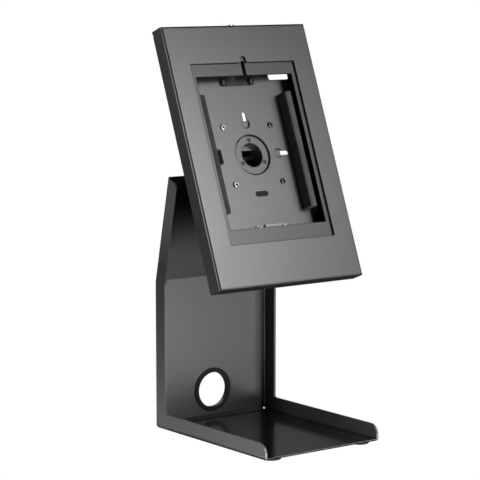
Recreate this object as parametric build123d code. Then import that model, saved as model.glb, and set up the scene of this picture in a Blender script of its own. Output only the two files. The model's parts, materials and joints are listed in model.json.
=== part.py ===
from build123d import *
import math
import os

# Point of sale tablet stand. Millimetres, +Z up, +X to the viewer's right, the front faces -Y.
# The origin is on the surface the stand rests on, under the middle of the whole object.

# Stand: one folded steel sheet with a base, an upright and a leaning top
SHEET = 3.0
STAND_WIDTH = 180.0
BASE_DEPTH = 233.3
BASE_FLANGE_HEIGHT = 21.0
BASE_CORNER_RADIUS = 14.0
UPRIGHT_FLANGE_DEPTH = 22.8
BEND_HEIGHT = 191.5
LEAN_ANGLE = 12.2
LEAN_LENGTH = 141.0
FOLD_INSIDE_RADIUS = 2.0
LEAN_FOLD_RADIUS = 9.0
SIDE_BEND_INSIDE = 1.0
SIDE_BEND_OUTSIDE = 4.0
TOP_CORNER_DROP = 11.5
TOP_CORNER_CUT = 5.0
TOP_CORNER_SHOULDER = 4.5
TOP_CORNER_EASE = 2.0
CORNER_RELIEF_RADIUS = 2.0
FLANGE_INNER_RADIUS = 3.0

# Feet
FOOT_HEIGHT = 2.0
FOOT_RADIUS = 12.0
FOOT_SIDE_INSET = 20.0
FOOT_END_INSET = 14.0
FOOT_EDGE = 0.6

# Cable hole in the upright and its grommet
GROMMET_HEIGHT = 39.5
GROMMET_BORE_RADIUS = 23.0
GROMMET_WALL = 3.0
GROMMET_LIP_WIDTH = 3.0
GROMMET_LIP = 1.5
GROMMET_EDGE = 0.7

# Tilt hinge: where it stands, measured from the top edge of the leaning plate
HINGE_ABOVE_TOP = 19.5
HINGE_AHEAD = 21.33
TILT_BACK = 21.3
BOLT_RADIUS = 4.0
RUNNING_GAP = 0.05
BOLT_HEAD_ACROSS = 13.0
BOLT_HEAD_HEIGHT = 5.3
NUT_HEIGHT = 8.0
BOLT_TIP = 3.0
WASHER_RADIUS = 8.0
WASHER_THICKNESS = 1.6
HINGE_EAR_RADIUS = 12.0
FRICTION_WASHER_EDGE = 0.5
FRICTION_WASHER_THICKNESS = 1.3
SPACER_WALL = 2.5

# Bracket on the stand
BRACKET_SHEET = 3.0
BRACKET_INSIDE = 60.0
BRACKET_ABOVE_HINGE = 17.0
BRACKET_BELOW_TOP = 64.0
BRACKET_BOLT_DROP = 36.0
BRACKET_BOLT_RADIUS = 2.5
BRACKET_BOLT_SPREAD = 40.0
BRACKET_BOLT_PITCH = 36.0
BRACKET_NUT_ACROSS = 8.0
BRACKET_NUT_HEIGHT = 4.0
BRACKET_HEAD_RADIUS = 4.75
BRACKET_HEAD_HEIGHT = 2.8

# Tablet enclosure: u to the right, v up its face, depth back from its front face
FACE_WIDTH = 226.0
FACE_HEIGHT = 339.0
COVER_DEPTH = 21.5
COVER_SHEET = 1.5
COVER_BEND_RADIUS = 3.0
COVER_RELIEF_DROP = 3.0
COVER_RELIEF_WIDTH = 2.0
COVER_RELIEF_DEPTH = 1.3
SCREEN_V = 3.9
WINDOW_HALF_WIDTH = 81.75
WINDOW_TOP = 119.0
WINDOW_BOTTOM = -114.5
WINDOW_CORNER = 1.0
NOTCH_WIDTH = 9.0
NOTCH_HEIGHT = 8.5
NOTCH_U = 1.0
NOTCH_CORNER = 3.5

# Mask frame behind the window
MASK_SHEET = 1.5
MASK_SPACER = 1.5
MASK_LAP_SIDE = 12.25
MASK_LAP_TOP = 10.0
MASK_LAP_BOTTOM = 9.5
MASK_HALF_WIDTH = 75.4
MASK_TOP = 102.8
MASK_BOTTOM = -95.0
MASK_CORNER = 1.5
MASK_SLOT_WIDTH = 5.5
MASK_SLOT_LAP = 3.0
MASK_SLOT_CORNER = 2.5
STUD_OUTSIDE_WINDOW = 7.25
STUD_TOP_DROP = 7.0
STUD_BOTTOM_RISE = 8.5
STUD_RADIUS = 1.5
STUD_PROUD = 1.6
SPACER_RADIUS = 3.5
STUD_NUT_ACROSS = 5.5
STUD_NUT_HEIGHT = 2.4

# Rear tray
TRAY_SHEET = 1.5
TRAY_FACE_DEPTH = 22.4
TRAY_SIDE_GAP = 0.5
TRAY_BOTTOM_GAP = 3.0
TRAY_FLANGE = 13.4
TRAY_BEND_RADIUS = 2.0
RING_HOLE_GAP = 1.0
LOCK_NOTCH_SIDE_GAP = 2.0
LOCK_NOTCH_END_GAP = 1.5
KEYHOLE_OFFSET = 41.0
KEYHOLE_RADIUS = 5.5
KEYHOLE_SLOT_WIDTH = 5.6
KEYHOLE_TIP = 56.6
TIE_SLOT_OFFSET = 51.5
TIE_SLOT_LENGTH = 20.0
TIE_SLOT_WIDTH = 7.0
CAMERA_SLOT_LEFT = 52.5
CAMERA_SLOT_RIGHT = 85.0
CAMERA_SLOT_BOTTOM = 101.5
CAMERA_SLOT_HEIGHT = 13.0
CAMERA_SLOT_CORNER = 3.0

# Hooks that carry the cover at the bottom of the tray
HOOK_U = 70.0
HOOK_WIDTH = 16.0
HOOK_AHEAD = 3.9
HOOK_SIDE_GAP = 0.5
HOOK_PLAY = 0.7
HOOK_RECESS = 0.3

# Foam bars
FOAM_LEFT_U = -76.0
FOAM_RIGHT_U = 60.0
FOAM_WIDTH = 9.8
FOAM_LENGTH = 154.0
FOAM_FACE_GAP = 0.5
FOAM_ROUND = 1.2

# Mounting plate, hub and ring that let the enclosure turn
PLATE_WIDTH = 90.0
PLATE_THICKNESS = 5.0
PLATE_CORNER = 6.0
VESA_PITCH = 75.0
VESA_BOLT_RADIUS = 2.0
VESA_HOLE_RADIUS = 2.25
VESA_HEAD_RADIUS = 4.0
VESA_HEAD_HEIGHT = 2.4
RING_RADIUS = 25.5
RING_THICKNESS = 2.0
RING_RECESS = 2.0
RING_SIDE_GAP = 0.7
RING_FACE_GAP = 0.1
RING_BORE_RADIUS = 15.5
HUB_BORE_RADIUS = 16.5
RING_OVERLAP = 2.5
RING_SCREW_RADIUS = 1.5
RING_HEAD_RADIUS = 2.75
RING_HEAD_HEIGHT = 1.2
RING_SCREW_LENGTH = 7.0
HUB_FLANGE_RADIUS = 35.0
HUB_FLANGE_THICKNESS = 4.0
SLIP_WASHER_THICKNESS = 1.0
SLIP_WASHER_GAP = 0.3
STOP_PIN_RADIUS = 2.0
STOP_PIN_EDGE = 5.0
STOP_PIN_REACH = 2.0
STOP_GROOVE_DEPTH = 2.6
STOP_GROOVE_GAP = 0.3
TURN_EACH_WAY = 90.0

# Tilt yoke between the hub and the hinge
YOKE_SHEET = 3.0
YOKE_HALF_HEIGHT = 29.0
YOKE_WINDOW_HALF_WIDTH = 14.0
YOKE_WINDOW_ABOVE = 8.8
YOKE_WINDOW_BELOW = 16.0
YOKE_WINDOW_CORNER = 3.0
YOKE_TO_HINGE = 20.5
YOKE_SCREW_EDGE = 6.0
YOKE_SCREW_RADIUS = 2.0
YOKE_HEAD_RADIUS = 3.6
YOKE_HEAD_HEIGHT = 2.2
YOKE_SCREW_REACH = 3.4

# Cam lock in the top wall of the cover
LOCK_DEPTH = 11.0
LOCK_HEAD_RADIUS = 6.4
LOCK_HEAD_HEIGHT = 2.0
LOCK_BODY_RADIUS = 5.5
LOCK_LENGTH = 19.5
LOCK_NUT_ACROSS = 15.0
LOCK_NUT_HEIGHT = 3.5
LOCK_HEAD_EDGE = 0.6
CORE_RADIUS = 3.6
CORE_TAIL = 2.0
KEY_SLOT_LENGTH = 5.0
KEY_SLOT_WIDTH = 1.0
KEY_SLOT_DEPTH = 3.0
CAM_WIDTH = 7.0
CAM_LENGTH = 10.0
CAM_THICKNESS = 2.0
CAM_SCREW_RADIUS = 1.5
CAM_SCREW_HEAD_RADIUS = 2.75
CAM_SCREW_HEAD_HEIGHT = 2.0
CAM_SCREW_REACH = 5.0

# Keeper that the cam turns behind
KEEPER_SHEET = 1.5
KEEPER_HALF_WIDTH = 27.0
KEEPER_DROP = 18.0
KEEPER_FLANGE = 36.0
KEEPER_CAM_GAP = 0.5
KEEPER_CAM_SIDE_GAP = 0.8
KEEPER_LIP_FAR = 20.0
KEEPER_LIP_OVERLAP = 0.8
KEEPER_SCREW_SPREAD = 44.0
KEEPER_SCREW_EDGE = 5.0

# Cable clamp at the bottom of the tray
CLAMP_U = 3.7
CLAMP_ABOVE_MASK = 2.0
CLAMP_SPREAD = 38.0
CLAMP_FOOT = 12.0
CLAMP_RISE = 4.5
CLAMP_WIDTH = 9.0
CLAMP_SHEET = 1.5

# Small screws that share one size
SMALL_SCREW_RADIUS = 1.5
SMALL_HEAD_RADIUS = 3.6
SMALL_HEAD_HEIGHT = 2.2
SMALL_SCREW_TAIL = 0.8
SOCKET_SHARE = 0.42
SOCKET_DEPTH_SHARE = 0.6
HEAD_ROUND_SHARE = 0.45

# Places worked out from the sizes above
LEAN = math.radians(LEAN_ANGLE)
TILT = math.radians(TILT_BACK)
BACK_Y = BASE_DEPTH / 2 - GROMMET_LIP / 2
FRONT_Y = BACK_Y - BASE_DEPTH
GROMMET_HOLE_RADIUS = GROMMET_BORE_RADIUS + GROMMET_WALL
GROMMET_LIP_RADIUS = GROMMET_HOLE_RADIUS + GROMMET_LIP_WIDTH
FLOOR_Z = FOOT_HEIGHT
HALF_WIDTH = STAND_WIDTH / 2
BEND_Z = FLOOR_Z + BEND_HEIGHT
TOP_Y = BACK_Y - LEAN_LENGTH * math.sin(LEAN)
TOP_Z = BEND_Z + LEAN_LENGTH * math.cos(LEAN)
BRACKET_OUTSIDE = BRACKET_INSIDE + 2 * BRACKET_SHEET
YOKE_OUTSIDE = BRACKET_INSIDE - 2 * FRICTION_WASHER_THICKNESS
YOKE_INSIDE = YOKE_OUTSIDE - 2 * YOKE_SHEET
TRAY_BACK = TRAY_FACE_DEPTH + TRAY_SHEET
PLATE_BACK = TRAY_BACK + PLATE_THICKNESS
BOSS_RADIUS = RING_RADIUS - RING_OVERLAP
RING_SCREW_CIRCLE = (HUB_BORE_RADIUS + BOSS_RADIUS) / 2
STOP_PIN_CIRCLE = HUB_FLANGE_RADIUS - STOP_PIN_EDGE
YOKE_SCREW_CIRCLE = HUB_FLANGE_RADIUS - YOKE_SCREW_EDGE
RING_FRONT = TRAY_FACE_DEPTH + RING_RECESS
BOSS_FRONT = RING_FRONT + RING_THICKNESS
COUNTERBORE_FLOOR = BOSS_FRONT + RING_FACE_GAP
FLANGE_FRONT = PLATE_BACK + SLIP_WASHER_THICKNESS
FLANGE_BACK = FLANGE_FRONT + HUB_FLANGE_THICKNESS
YOKE_BACK = FLANGE_BACK + YOKE_SHEET
FRICTION_WASHER_RADIUS = HINGE_EAR_RADIUS - FRICTION_WASHER_EDGE
HINGE_DEPTH = YOKE_BACK + YOKE_TO_HINGE
MASK_DEPTH = COVER_SHEET + MASK_SPACER
MASK_BACK = MASK_DEPTH + MASK_SHEET
MASK_OUTER_HALF_WIDTH = WINDOW_HALF_WIDTH + MASK_LAP_SIDE
MASK_OUTER_TOP = WINDOW_TOP + MASK_LAP_TOP
MASK_OUTER_BOTTOM = WINDOW_BOTTOM - MASK_LAP_BOTTOM
MASK_SLOT_TOP = WINDOW_TOP + MASK_SLOT_LAP
STUD_U = WINDOW_HALF_WIDTH + STUD_OUTSIDE_WINDOW
STUD_TOP_V = WINDOW_TOP - STUD_TOP_DROP
STUD_BOTTOM_V = WINDOW_BOTTOM + STUD_BOTTOM_RISE
TRAY_HALF_WIDTH = FACE_WIDTH / 2 - COVER_SHEET - TRAY_SIDE_GAP
TRAY_TOP = FACE_HEIGHT / 2 - COVER_SHEET - TRAY_SIDE_GAP
TRAY_BOTTOM = -FACE_HEIGHT / 2 + COVER_SHEET + TRAY_BOTTOM_GAP
HOOK_DEPTH = TRAY_FACE_DEPTH - HOOK_AHEAD
HOOK_SLOT_HALF = TRAY_SHEET / 2 + HOOK_PLAY
LOCK_BOTTOM = FACE_HEIGHT / 2 - LOCK_LENGTH
CAM_TOP = LOCK_BOTTOM - CORE_TAIL
KEEPER_WEB_V = CAM_TOP - KEEPER_DROP
KEEPER_BOTTOM = KEEPER_WEB_V + KEEPER_SHEET - KEEPER_FLANGE
KEEPER_SCREW_V = KEEPER_BOTTOM + KEEPER_SCREW_EDGE
KEEPER_LIP_BACK = LOCK_DEPTH - CAM_WIDTH / 2 - KEEPER_CAM_GAP
KEEPER_LIP_FRONT = KEEPER_LIP_BACK - KEEPER_SHEET
KEEPER_LIP_NEAR = CAM_WIDTH / 2 + KEEPER_CAM_SIDE_GAP
CLAMP_V = MASK_BOTTOM + CLAMP_ABOVE_MASK

# Frames: on the leaning plate's front face at its top edge, and on the enclosure's front face
lean_up = Vector(0, -math.sin(LEAN), math.cos(LEAN))
lean_out = Vector(0, -math.cos(LEAN), -math.sin(LEAN))
lean_origin = Vector(0, TOP_Y, TOP_Z) + lean_out * SHEET
lean_plane = Plane(origin=lean_origin, x_dir=(1, 0, 0), z_dir=lean_out)
hinge_point = lean_origin + lean_up * HINGE_ABOVE_TOP + lean_out * HINGE_AHEAD
face_up = Vector(0, math.sin(TILT), math.cos(TILT))
face_out = Vector(0, -math.cos(TILT), math.sin(TILT))
face_origin = hinge_point + face_out * HINGE_DEPTH - face_up * SCREEN_V
face_plane = Plane(origin=face_origin, x_dir=(1, 0, 0), z_dir=face_out)
lock_origin = face_origin + face_up * (FACE_HEIGHT / 2) - face_out * LOCK_DEPTH
lock_plane = Plane(origin=lock_origin, x_dir=(1, 0, 0), z_dir=face_up)
side_plane = Plane(origin=(0, 0, 0), x_dir=(0, 1, 0), z_dir=(1, 0, 0))


# Shapes used by several pieces
def slab(x0, x1, y0, y1, z0, z1):
    return Pos((x0 + x1) / 2, (y0 + y1) / 2, (z0 + z1) / 2) * Box(x1 - x0, y1 - y0, z1 - z0)


def disc(radius, z0, z1, x=0.0, y=0.0):
    return Pos(x, y, (z0 + z1) / 2) * Cylinder(radius, z1 - z0)


def hexagon(across, z0, z1):
    outline = RegularPolygon(across / math.sqrt(3), 6)
    return extrude(Pos(0, 0, z0) * outline, z1 - z0)


def rounded_window(u0, u1, v0, v1, corner):
    return Pos((u0 + u1) / 2, (v0 + v1) / 2) * RectangleRounded(u1 - u0, v1 - v0, corner)


def through(outline, d0, d1):
    """A flat outline on the enclosure's face, cut from depth d0 back to depth d1."""
    return extrude(Pos(0, 0, -d1) * outline, d1 - d0)


def on_face(piece):
    return face_plane.location * piece


def group(pieces):
    return Compound(children=list(pieces))


def screw(head_radius, head_height, radius, length):
    """A round-headed socket screw: head above z = 0, shank below."""
    head = disc(head_radius, 0, head_height)
    head = fillet(head.edges().group_by(Axis.Z)[-1], head_height * HEAD_ROUND_SHARE)
    socket_floor = head_height * (1 - SOCKET_DEPTH_SHARE)
    socket = hexagon(head_radius * 2 * SOCKET_SHARE, socket_floor, head_height)
    return head - socket + disc(radius, -length, 0)


def hex_nut(across, height, bore):
    """A hexagonal nut standing on z = 0."""
    return hexagon(across, 0, height) - disc(bore, 0, height)


def tangent_point(px, py, cx, cy, radius, side):
    """Where a line from (px, py) touches a circle, on the side given by +1 or -1."""
    distance = math.hypot(px - cx, py - cy)
    towards = math.atan2(py - cy, px - cx)
    swing = side * math.acos(radius / distance)
    return cx + radius * math.cos(towards + swing), cy + radius * math.sin(towards + swing)


def ear_outline(x0, y0, x1, y1, cx, cy, radius):
    """A flat edge from (x0, y0) to (x1, y1) drawn up to a round end about (cx, cy)."""
    first = tangent_point(x0, y0, cx, cy, radius, -1)
    second = tangent_point(x1, y1, cx, cy, radius, 1)
    web = make_face(Polyline((x0, y0), first, (cx, cy), second, (x1, y1), close=True))
    return web + Pos(cx, cy) * Circle(radius)


# Stand
def leaning(along, out):
    """A point of the leaning part: along it from the bend, and out from its rear face."""
    return Vector(0, BACK_Y, BEND_Z) + lean_up * along + lean_out * out


def bend_corner(out):
    """Where the upright's and the leaning part's lines meet, out from their rear faces."""
    return Vector(0, BACK_Y - out, BEND_Z - out * math.tan(LEAN / 2))


def fold_gap(point):
    """How far a point lies inside the stand's outer skin: floor, back and leaning back."""
    lean_gap = (point - Vector(0, BACK_Y, BEND_Z)).dot(lean_out)
    return min(point.Z - FLOOR_Z, BACK_Y - point.Y, lean_gap)


def fold_edges(body, half_width, gap):
    """The edges of both side faces that follow the skin, at a given depth inside it."""
    chosen = []
    for edge in body.edges():
        ends = [edge @ 0, edge @ 1]
        if all(abs(abs(end.X) - half_width) < 1e-3 and abs(fold_gap(end) - gap) < 1e-3 for end in ends):
            chosen.append(edge)
    return chosen


def rounded_outline(corners, rounds):
    """A flat face in the YZ plane with some corners, given by number, rounded."""
    face = make_face(Polyline(*corners, close=True))
    for index, radius in rounds.items():
        corner = face.vertices().sort_by_distance(corners[index])[0]
        face = fillet(corner, radius)
    return face


def make_stand_body():
    flange_top = FLOOR_Z + BASE_FLANGE_HEIGHT
    corners = [
        Vector(0, BACK_Y, FLOOR_Z),
        Vector(0, FRONT_Y, FLOOR_Z),
        Vector(0, FRONT_Y, flange_top),
        Vector(0, BACK_Y - UPRIGHT_FLANGE_DEPTH, flange_top),
        bend_corner(UPRIGHT_FLANGE_DEPTH),
        leaning(LEAN_LENGTH, UPRIGHT_FLANGE_DEPTH),
        leaning(LEAN_LENGTH, 0),
        bend_corner(0),
    ]
    rounds = {
        0: FOLD_INSIDE_RADIUS + SHEET,
        2: BASE_CORNER_RADIUS,
        3: FLANGE_INNER_RADIUS,
        4: LEAN_FOLD_RADIUS,
        7: LEAN_FOLD_RADIUS + SHEET,
    }
    outline = rounded_outline(corners, rounds)
    body = extrude(Pos(-HALF_WIDTH, 0, 0) * outline, STAND_WIDTH, dir=(1, 0, 0))
    body = fillet(fold_edges(body, HALF_WIDTH, 0), SIDE_BEND_OUTSIDE)

    inner = HALF_WIDTH - SHEET
    beyond = BASE_DEPTH
    room = [
        Vector(0, BACK_Y - SHEET, FLOOR_Z + SHEET),
        Vector(0, FRONT_Y - beyond, FLOOR_Z + SHEET),
        Vector(0, FRONT_Y - beyond, TOP_Z + beyond),
        leaning(LEAN_LENGTH + beyond, SHEET),
        bend_corner(SHEET),
    ]
    room_outline = rounded_outline(room, {0: FOLD_INSIDE_RADIUS, 4: LEAN_FOLD_RADIUS})
    hollow = extrude(Pos(-inner, 0, 0) * room_outline, 2 * inner, dir=(1, 0, 0))
    hollow = fillet(fold_edges(hollow, inner, SHEET), SIDE_BEND_INSIDE)
    body = body - hollow

    far_out = UPRIGHT_FLANGE_DEPTH * 2
    corner_cut = [
        leaning(LEAN_LENGTH - TOP_CORNER_DROP, far_out),
        leaning(LEAN_LENGTH - TOP_CORNER_DROP, UPRIGHT_FLANGE_DEPTH),
        leaning(LEAN_LENGTH - TOP_CORNER_SHOULDER, UPRIGHT_FLANGE_DEPTH - TOP_CORNER_CUT),
        leaning(LEAN_LENGTH - TOP_CORNER_EASE, SHEET),
        leaning(LEAN_LENGTH + SHEET, SHEET),
        leaning(LEAN_LENGTH + SHEET, far_out),
    ]
    cut_outline = make_face(Polyline(*corner_cut, close=True))
    body = body - extrude(Pos(-STAND_WIDTH, 0, 0) * cut_outline, STAND_WIDTH * 2, dir=(1, 0, 0))

    back_middle = BACK_Y - SHEET / 2
    cable_hole = Cylinder(GROMMET_HOLE_RADIUS, SHEET * 3, rotation=(90, 0, 0))
    body = body - Pos(0, back_middle, FLOOR_Z + GROMMET_HEIGHT) * cable_hole
    for side in (-1, 1):
        relief = Cylinder(CORNER_RELIEF_RADIUS, SHEET * 3, rotation=(90, 0, 0))
        body = body - Pos(side * (inner - SIDE_BEND_INSIDE), back_middle, FLOOR_Z + SHEET) * relief
    for x, y in bracket_bolt_places():
        hole = disc(BRACKET_BOLT_RADIUS + RUNNING_GAP, -SHEET * 2, SHEET, x, y)
        body = body - lean_plane.location * hole
    return body


def make_rubber_feet():
    feet = []
    for x in (-1, 1):
        for y in (FRONT_Y + FOOT_END_INSET, BACK_Y - FOOT_END_INSET):
            foot = disc(FOOT_RADIUS, 0, FOOT_HEIGHT)
            foot = fillet(foot.edges().group_by(Axis.Z)[0], FOOT_EDGE)
            feet.append(Pos(x * (HALF_WIDTH - FOOT_SIDE_INSET), y, 0) * foot)
    return group(feet)


def make_cable_grommet():
    half = SHEET / 2 + GROMMET_LIP
    body = disc(GROMMET_HOLE_RADIUS - RUNNING_GAP, -half, half)
    for side in (-1, 1):
        near = side * SHEET / 2
        far = side * half
        lip = disc(GROMMET_LIP_RADIUS, min(near, far), max(near, far))
        rim = lip.edges().group_by(Axis.Z)[-1 if side > 0 else 0]
        body = body + fillet(rim, GROMMET_EDGE)
    body = body - disc(GROMMET_BORE_RADIUS, -half, half)
    return Pos(0, BACK_Y - SHEET / 2, FLOOR_Z + GROMMET_HEIGHT) * Rot(90, 0, 0) * body


# Bracket bolted to the leaning plate
def bracket_bolt_places():
    half_x = BRACKET_BOLT_SPREAD / 2
    half_y = BRACKET_BOLT_PITCH / 2
    return [(x, y - BRACKET_BOLT_DROP) for x in (-half_x, half_x) for y in (-half_y, half_y)]


def make_stand_bracket():
    half = BRACKET_OUTSIDE / 2
    top = HINGE_ABOVE_TOP + BRACKET_ABOVE_HINGE
    bottom = -BRACKET_BELOW_TOP
    body = slab(-half, half, bottom, top, 0, BRACKET_SHEET)
    outline = ear_outline(bottom, 0, top, 0, HINGE_ABOVE_TOP, HINGE_AHEAD, HINGE_EAR_RADIUS)
    for near in (-half, half - BRACKET_SHEET):
        ear = extrude(side_plane.location * outline, BRACKET_SHEET, dir=(1, 0, 0))
        body = body + Pos(near, 0, 0) * ear
    body = body - hinge_hole(HINGE_ABOVE_TOP, HINGE_AHEAD, BRACKET_OUTSIDE)
    for x, y in bracket_bolt_places():
        body = body - disc(BRACKET_BOLT_RADIUS + RUNNING_GAP, 0, BRACKET_SHEET, x, y)
    return lean_plane.location * body


def hinge_hole(y, z, length):
    return Pos(0, y, z) * Cylinder(BOLT_RADIUS + RUNNING_GAP, length * 2, rotation=(0, 90, 0))


def make_bracket_screws():
    length = SHEET + BRACKET_SHEET + BRACKET_NUT_HEIGHT
    one = Rot(180, 0, 0) * screw(BRACKET_HEAD_RADIUS, BRACKET_HEAD_HEIGHT, BRACKET_BOLT_RADIUS, length)
    return group(lean_plane.location * Pos(x, y, -SHEET) * one for x, y in bracket_bolt_places())


def make_bracket_nuts():
    one = hex_nut(BRACKET_NUT_ACROSS, BRACKET_NUT_HEIGHT, BRACKET_BOLT_RADIUS + RUNNING_GAP)
    return group(lean_plane.location * Pos(x, y, BRACKET_SHEET) * one for x, y in bracket_bolt_places())


# Hinge hardware, built along +X through the hinge point
def on_hinge(piece):
    return Pos(hinge_point.X, hinge_point.Y, hinge_point.Z) * Rot(0, 90, 0) * piece


def make_hinge_bolt():
    seat = BRACKET_OUTSIDE / 2 + WASHER_THICKNESS
    head = hexagon(BOLT_HEAD_ACROSS, -seat - BOLT_HEAD_HEIGHT, -seat)
    shank = disc(BOLT_RADIUS, -seat, seat + NUT_HEIGHT + BOLT_TIP)
    return on_hinge(head + shank)


def make_hinge_nut():
    seat = BRACKET_OUTSIDE / 2 + WASHER_THICKNESS
    nut = hex_nut(BOLT_HEAD_ACROSS, NUT_HEIGHT, BOLT_RADIUS + RUNNING_GAP)
    return on_hinge(Pos(0, 0, seat) * nut)


def washer(radius, bore, z0, z1):
    return disc(radius, z0, z1) - disc(bore, z0, z1)


def make_hinge_washers():
    seat = BRACKET_OUTSIDE / 2
    bore = BOLT_RADIUS + RUNNING_GAP
    left = washer(WASHER_RADIUS, bore, -seat - WASHER_THICKNESS, -seat)
    right = washer(WASHER_RADIUS, bore, seat, seat + WASHER_THICKNESS)
    return group([on_hinge(left), on_hinge(right)])


def make_friction_washers():
    inside = BRACKET_INSIDE / 2
    bore = BOLT_RADIUS + RUNNING_GAP
    left = washer(FRICTION_WASHER_RADIUS, bore, -inside, -YOKE_OUTSIDE / 2)
    right = washer(FRICTION_WASHER_RADIUS, bore, YOKE_OUTSIDE / 2, inside)
    return group([on_hinge(left), on_hinge(right)])


def make_hinge_spacer():
    half = YOKE_INSIDE / 2
    bore = BOLT_RADIUS + RUNNING_GAP
    return on_hinge(washer(bore + SPACER_WALL, bore, -half, half))


# Tilt yoke and hub, built on the enclosure's face frame
def circle_places(radius, count, start):
    step = 2 * math.pi / count
    angles = [math.radians(start) + step * i for i in range(count)]
    return [(radius * math.cos(a), SCREEN_V + radius * math.sin(a)) for a in angles]


def make_tilt_yoke():
    half = YOKE_OUTSIDE / 2
    low = SCREEN_V - YOKE_HALF_HEIGHT
    high = SCREEN_V + YOKE_HALF_HEIGHT
    body = slab(-half, half, low, high, -YOKE_BACK, -FLANGE_BACK)
    outline = ear_outline(high, -FLANGE_BACK, low, -FLANGE_BACK, SCREEN_V, -HINGE_DEPTH, HINGE_EAR_RADIUS)
    for near in (-half, half - YOKE_SHEET):
        ear = extrude(side_plane.location * outline, YOKE_SHEET, dir=(1, 0, 0))
        body = body + Pos(near, 0, 0) * ear
    body = body - hinge_hole(SCREEN_V, -HINGE_DEPTH, YOKE_OUTSIDE)
    half_window = YOKE_WINDOW_HALF_WIDTH
    window_low = SCREEN_V - YOKE_WINDOW_BELOW
    window_high = SCREEN_V + YOKE_WINDOW_ABOVE
    window = rounded_window(-half_window, half_window, window_low, window_high, YOKE_WINDOW_CORNER)
    body = body - through(window, FLANGE_BACK - YOKE_SHEET, YOKE_BACK + YOKE_SHEET)
    for u, v in circle_places(YOKE_SCREW_CIRCLE, 4, 45):
        body = body - disc(YOKE_SCREW_RADIUS + RUNNING_GAP, -YOKE_BACK, -FLANGE_BACK, u, v)
    return on_face(body)


def make_yoke_screws():
    length = YOKE_SHEET + YOKE_SCREW_REACH
    one = Rot(180, 0, 0) * screw(YOKE_HEAD_RADIUS, YOKE_HEAD_HEIGHT, YOKE_SCREW_RADIUS, length)
    places = circle_places(YOKE_SCREW_CIRCLE, 4, 45)
    return group(on_face(Pos(u, v, -YOKE_BACK) * one) for u, v in places)


def make_turn_hub():
    body = disc(HUB_FLANGE_RADIUS, -FLANGE_BACK, -FLANGE_FRONT, 0, SCREEN_V)
    body = body + disc(BOSS_RADIUS, -FLANGE_FRONT, -BOSS_FRONT, 0, SCREEN_V)
    body = body - disc(HUB_BORE_RADIUS, -FLANGE_BACK, -BOSS_FRONT, 0, SCREEN_V)
    tip = BOSS_FRONT + RING_SCREW_LENGTH
    for u, v in circle_places(RING_SCREW_CIRCLE, 3, 90):
        body = body - disc(RING_SCREW_RADIUS + RUNNING_GAP, -tip, -BOSS_FRONT, u, v)
    for u, v in circle_places(YOKE_SCREW_CIRCLE, 4, 45):
        reach = FLANGE_BACK - YOKE_SCREW_REACH - RUNNING_GAP
        body = body - disc(YOKE_SCREW_RADIUS + RUNNING_GAP, -FLANGE_BACK, -reach, u, v)
    pin_v = SCREEN_V + STOP_PIN_CIRCLE
    body = body - disc(STOP_PIN_RADIUS + RUNNING_GAP, -FLANGE_BACK, -FLANGE_FRONT, 0, pin_v)
    return on_face(body)


def make_slip_washer():
    bore = BOSS_RADIUS + SLIP_WASHER_GAP
    body = disc(HUB_FLANGE_RADIUS, -FLANGE_FRONT, -PLATE_BACK, 0, SCREEN_V)
    body = body - disc(bore, -FLANGE_FRONT, -PLATE_BACK, 0, SCREEN_V)
    pin_hole = STOP_PIN_RADIUS + SLIP_WASHER_GAP
    body = body - disc(pin_hole, -FLANGE_FRONT, -PLATE_BACK, 0, SCREEN_V + STOP_PIN_CIRCLE)
    return on_face(body)


def make_stop_pin():
    front = PLATE_BACK - STOP_PIN_REACH
    pin = disc(STOP_PIN_RADIUS, -FLANGE_BACK, -front, 0, SCREEN_V + STOP_PIN_CIRCLE)
    return on_face(pin)


def make_retaining_ring():
    body = disc(RING_RADIUS, -BOSS_FRONT, -RING_FRONT, 0, SCREEN_V)
    body = body - disc(RING_BORE_RADIUS, -BOSS_FRONT, -RING_FRONT, 0, SCREEN_V)
    sink = RING_FRONT + RING_HEAD_HEIGHT
    for u, v in circle_places(RING_SCREW_CIRCLE, 3, 90):
        body = body - disc(RING_SCREW_RADIUS + RUNNING_GAP, -BOSS_FRONT, -RING_FRONT, u, v)
        body = body - disc(RING_HEAD_RADIUS + SLIP_WASHER_GAP, -sink, -RING_FRONT, u, v)
    return on_face(body)


def make_ring_screws():
    seat = RING_FRONT + RING_HEAD_HEIGHT
    length = BOSS_FRONT - seat + RING_SCREW_LENGTH - RUNNING_GAP
    one = screw(RING_HEAD_RADIUS, RING_HEAD_HEIGHT, RING_SCREW_RADIUS, length)
    places = circle_places(RING_SCREW_CIRCLE, 3, 90)
    return group(on_face(Pos(u, v, -seat) * one) for u, v in places)


# Mounting plate
def vesa_places():
    half = VESA_PITCH / 2
    return [(u, SCREEN_V + v) for u in (-half, half) for v in (-half, half)]


def make_mounting_plate():
    half = PLATE_WIDTH / 2
    body = slab(-half, half, SCREEN_V - half, SCREEN_V + half, -PLATE_BACK, -TRAY_BACK)
    body = fillet(body.edges().filter_by(Axis.Z), PLATE_CORNER)
    body = body - disc(BOSS_RADIUS + RUNNING_GAP, -PLATE_BACK, -TRAY_BACK, 0, SCREEN_V)
    body = body - disc(RING_RADIUS + RING_SIDE_GAP, -COUNTERBORE_FLOOR, -TRAY_BACK, 0, SCREEN_V)
    for u, v in vesa_places():
        body = body - disc(VESA_BOLT_RADIUS + RUNNING_GAP, -PLATE_BACK, -TRAY_BACK, u, v)
    groove_line = CenterArc((0, 0), STOP_PIN_CIRCLE, 90 - TURN_EACH_WAY, 2 * TURN_EACH_WAY)
    groove = SlotArc(groove_line, 2 * (STOP_PIN_RADIUS + STOP_GROOVE_GAP))
    body = body - extrude(Pos(0, SCREEN_V, -PLATE_BACK) * groove, STOP_GROOVE_DEPTH)
    return on_face(body)


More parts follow.
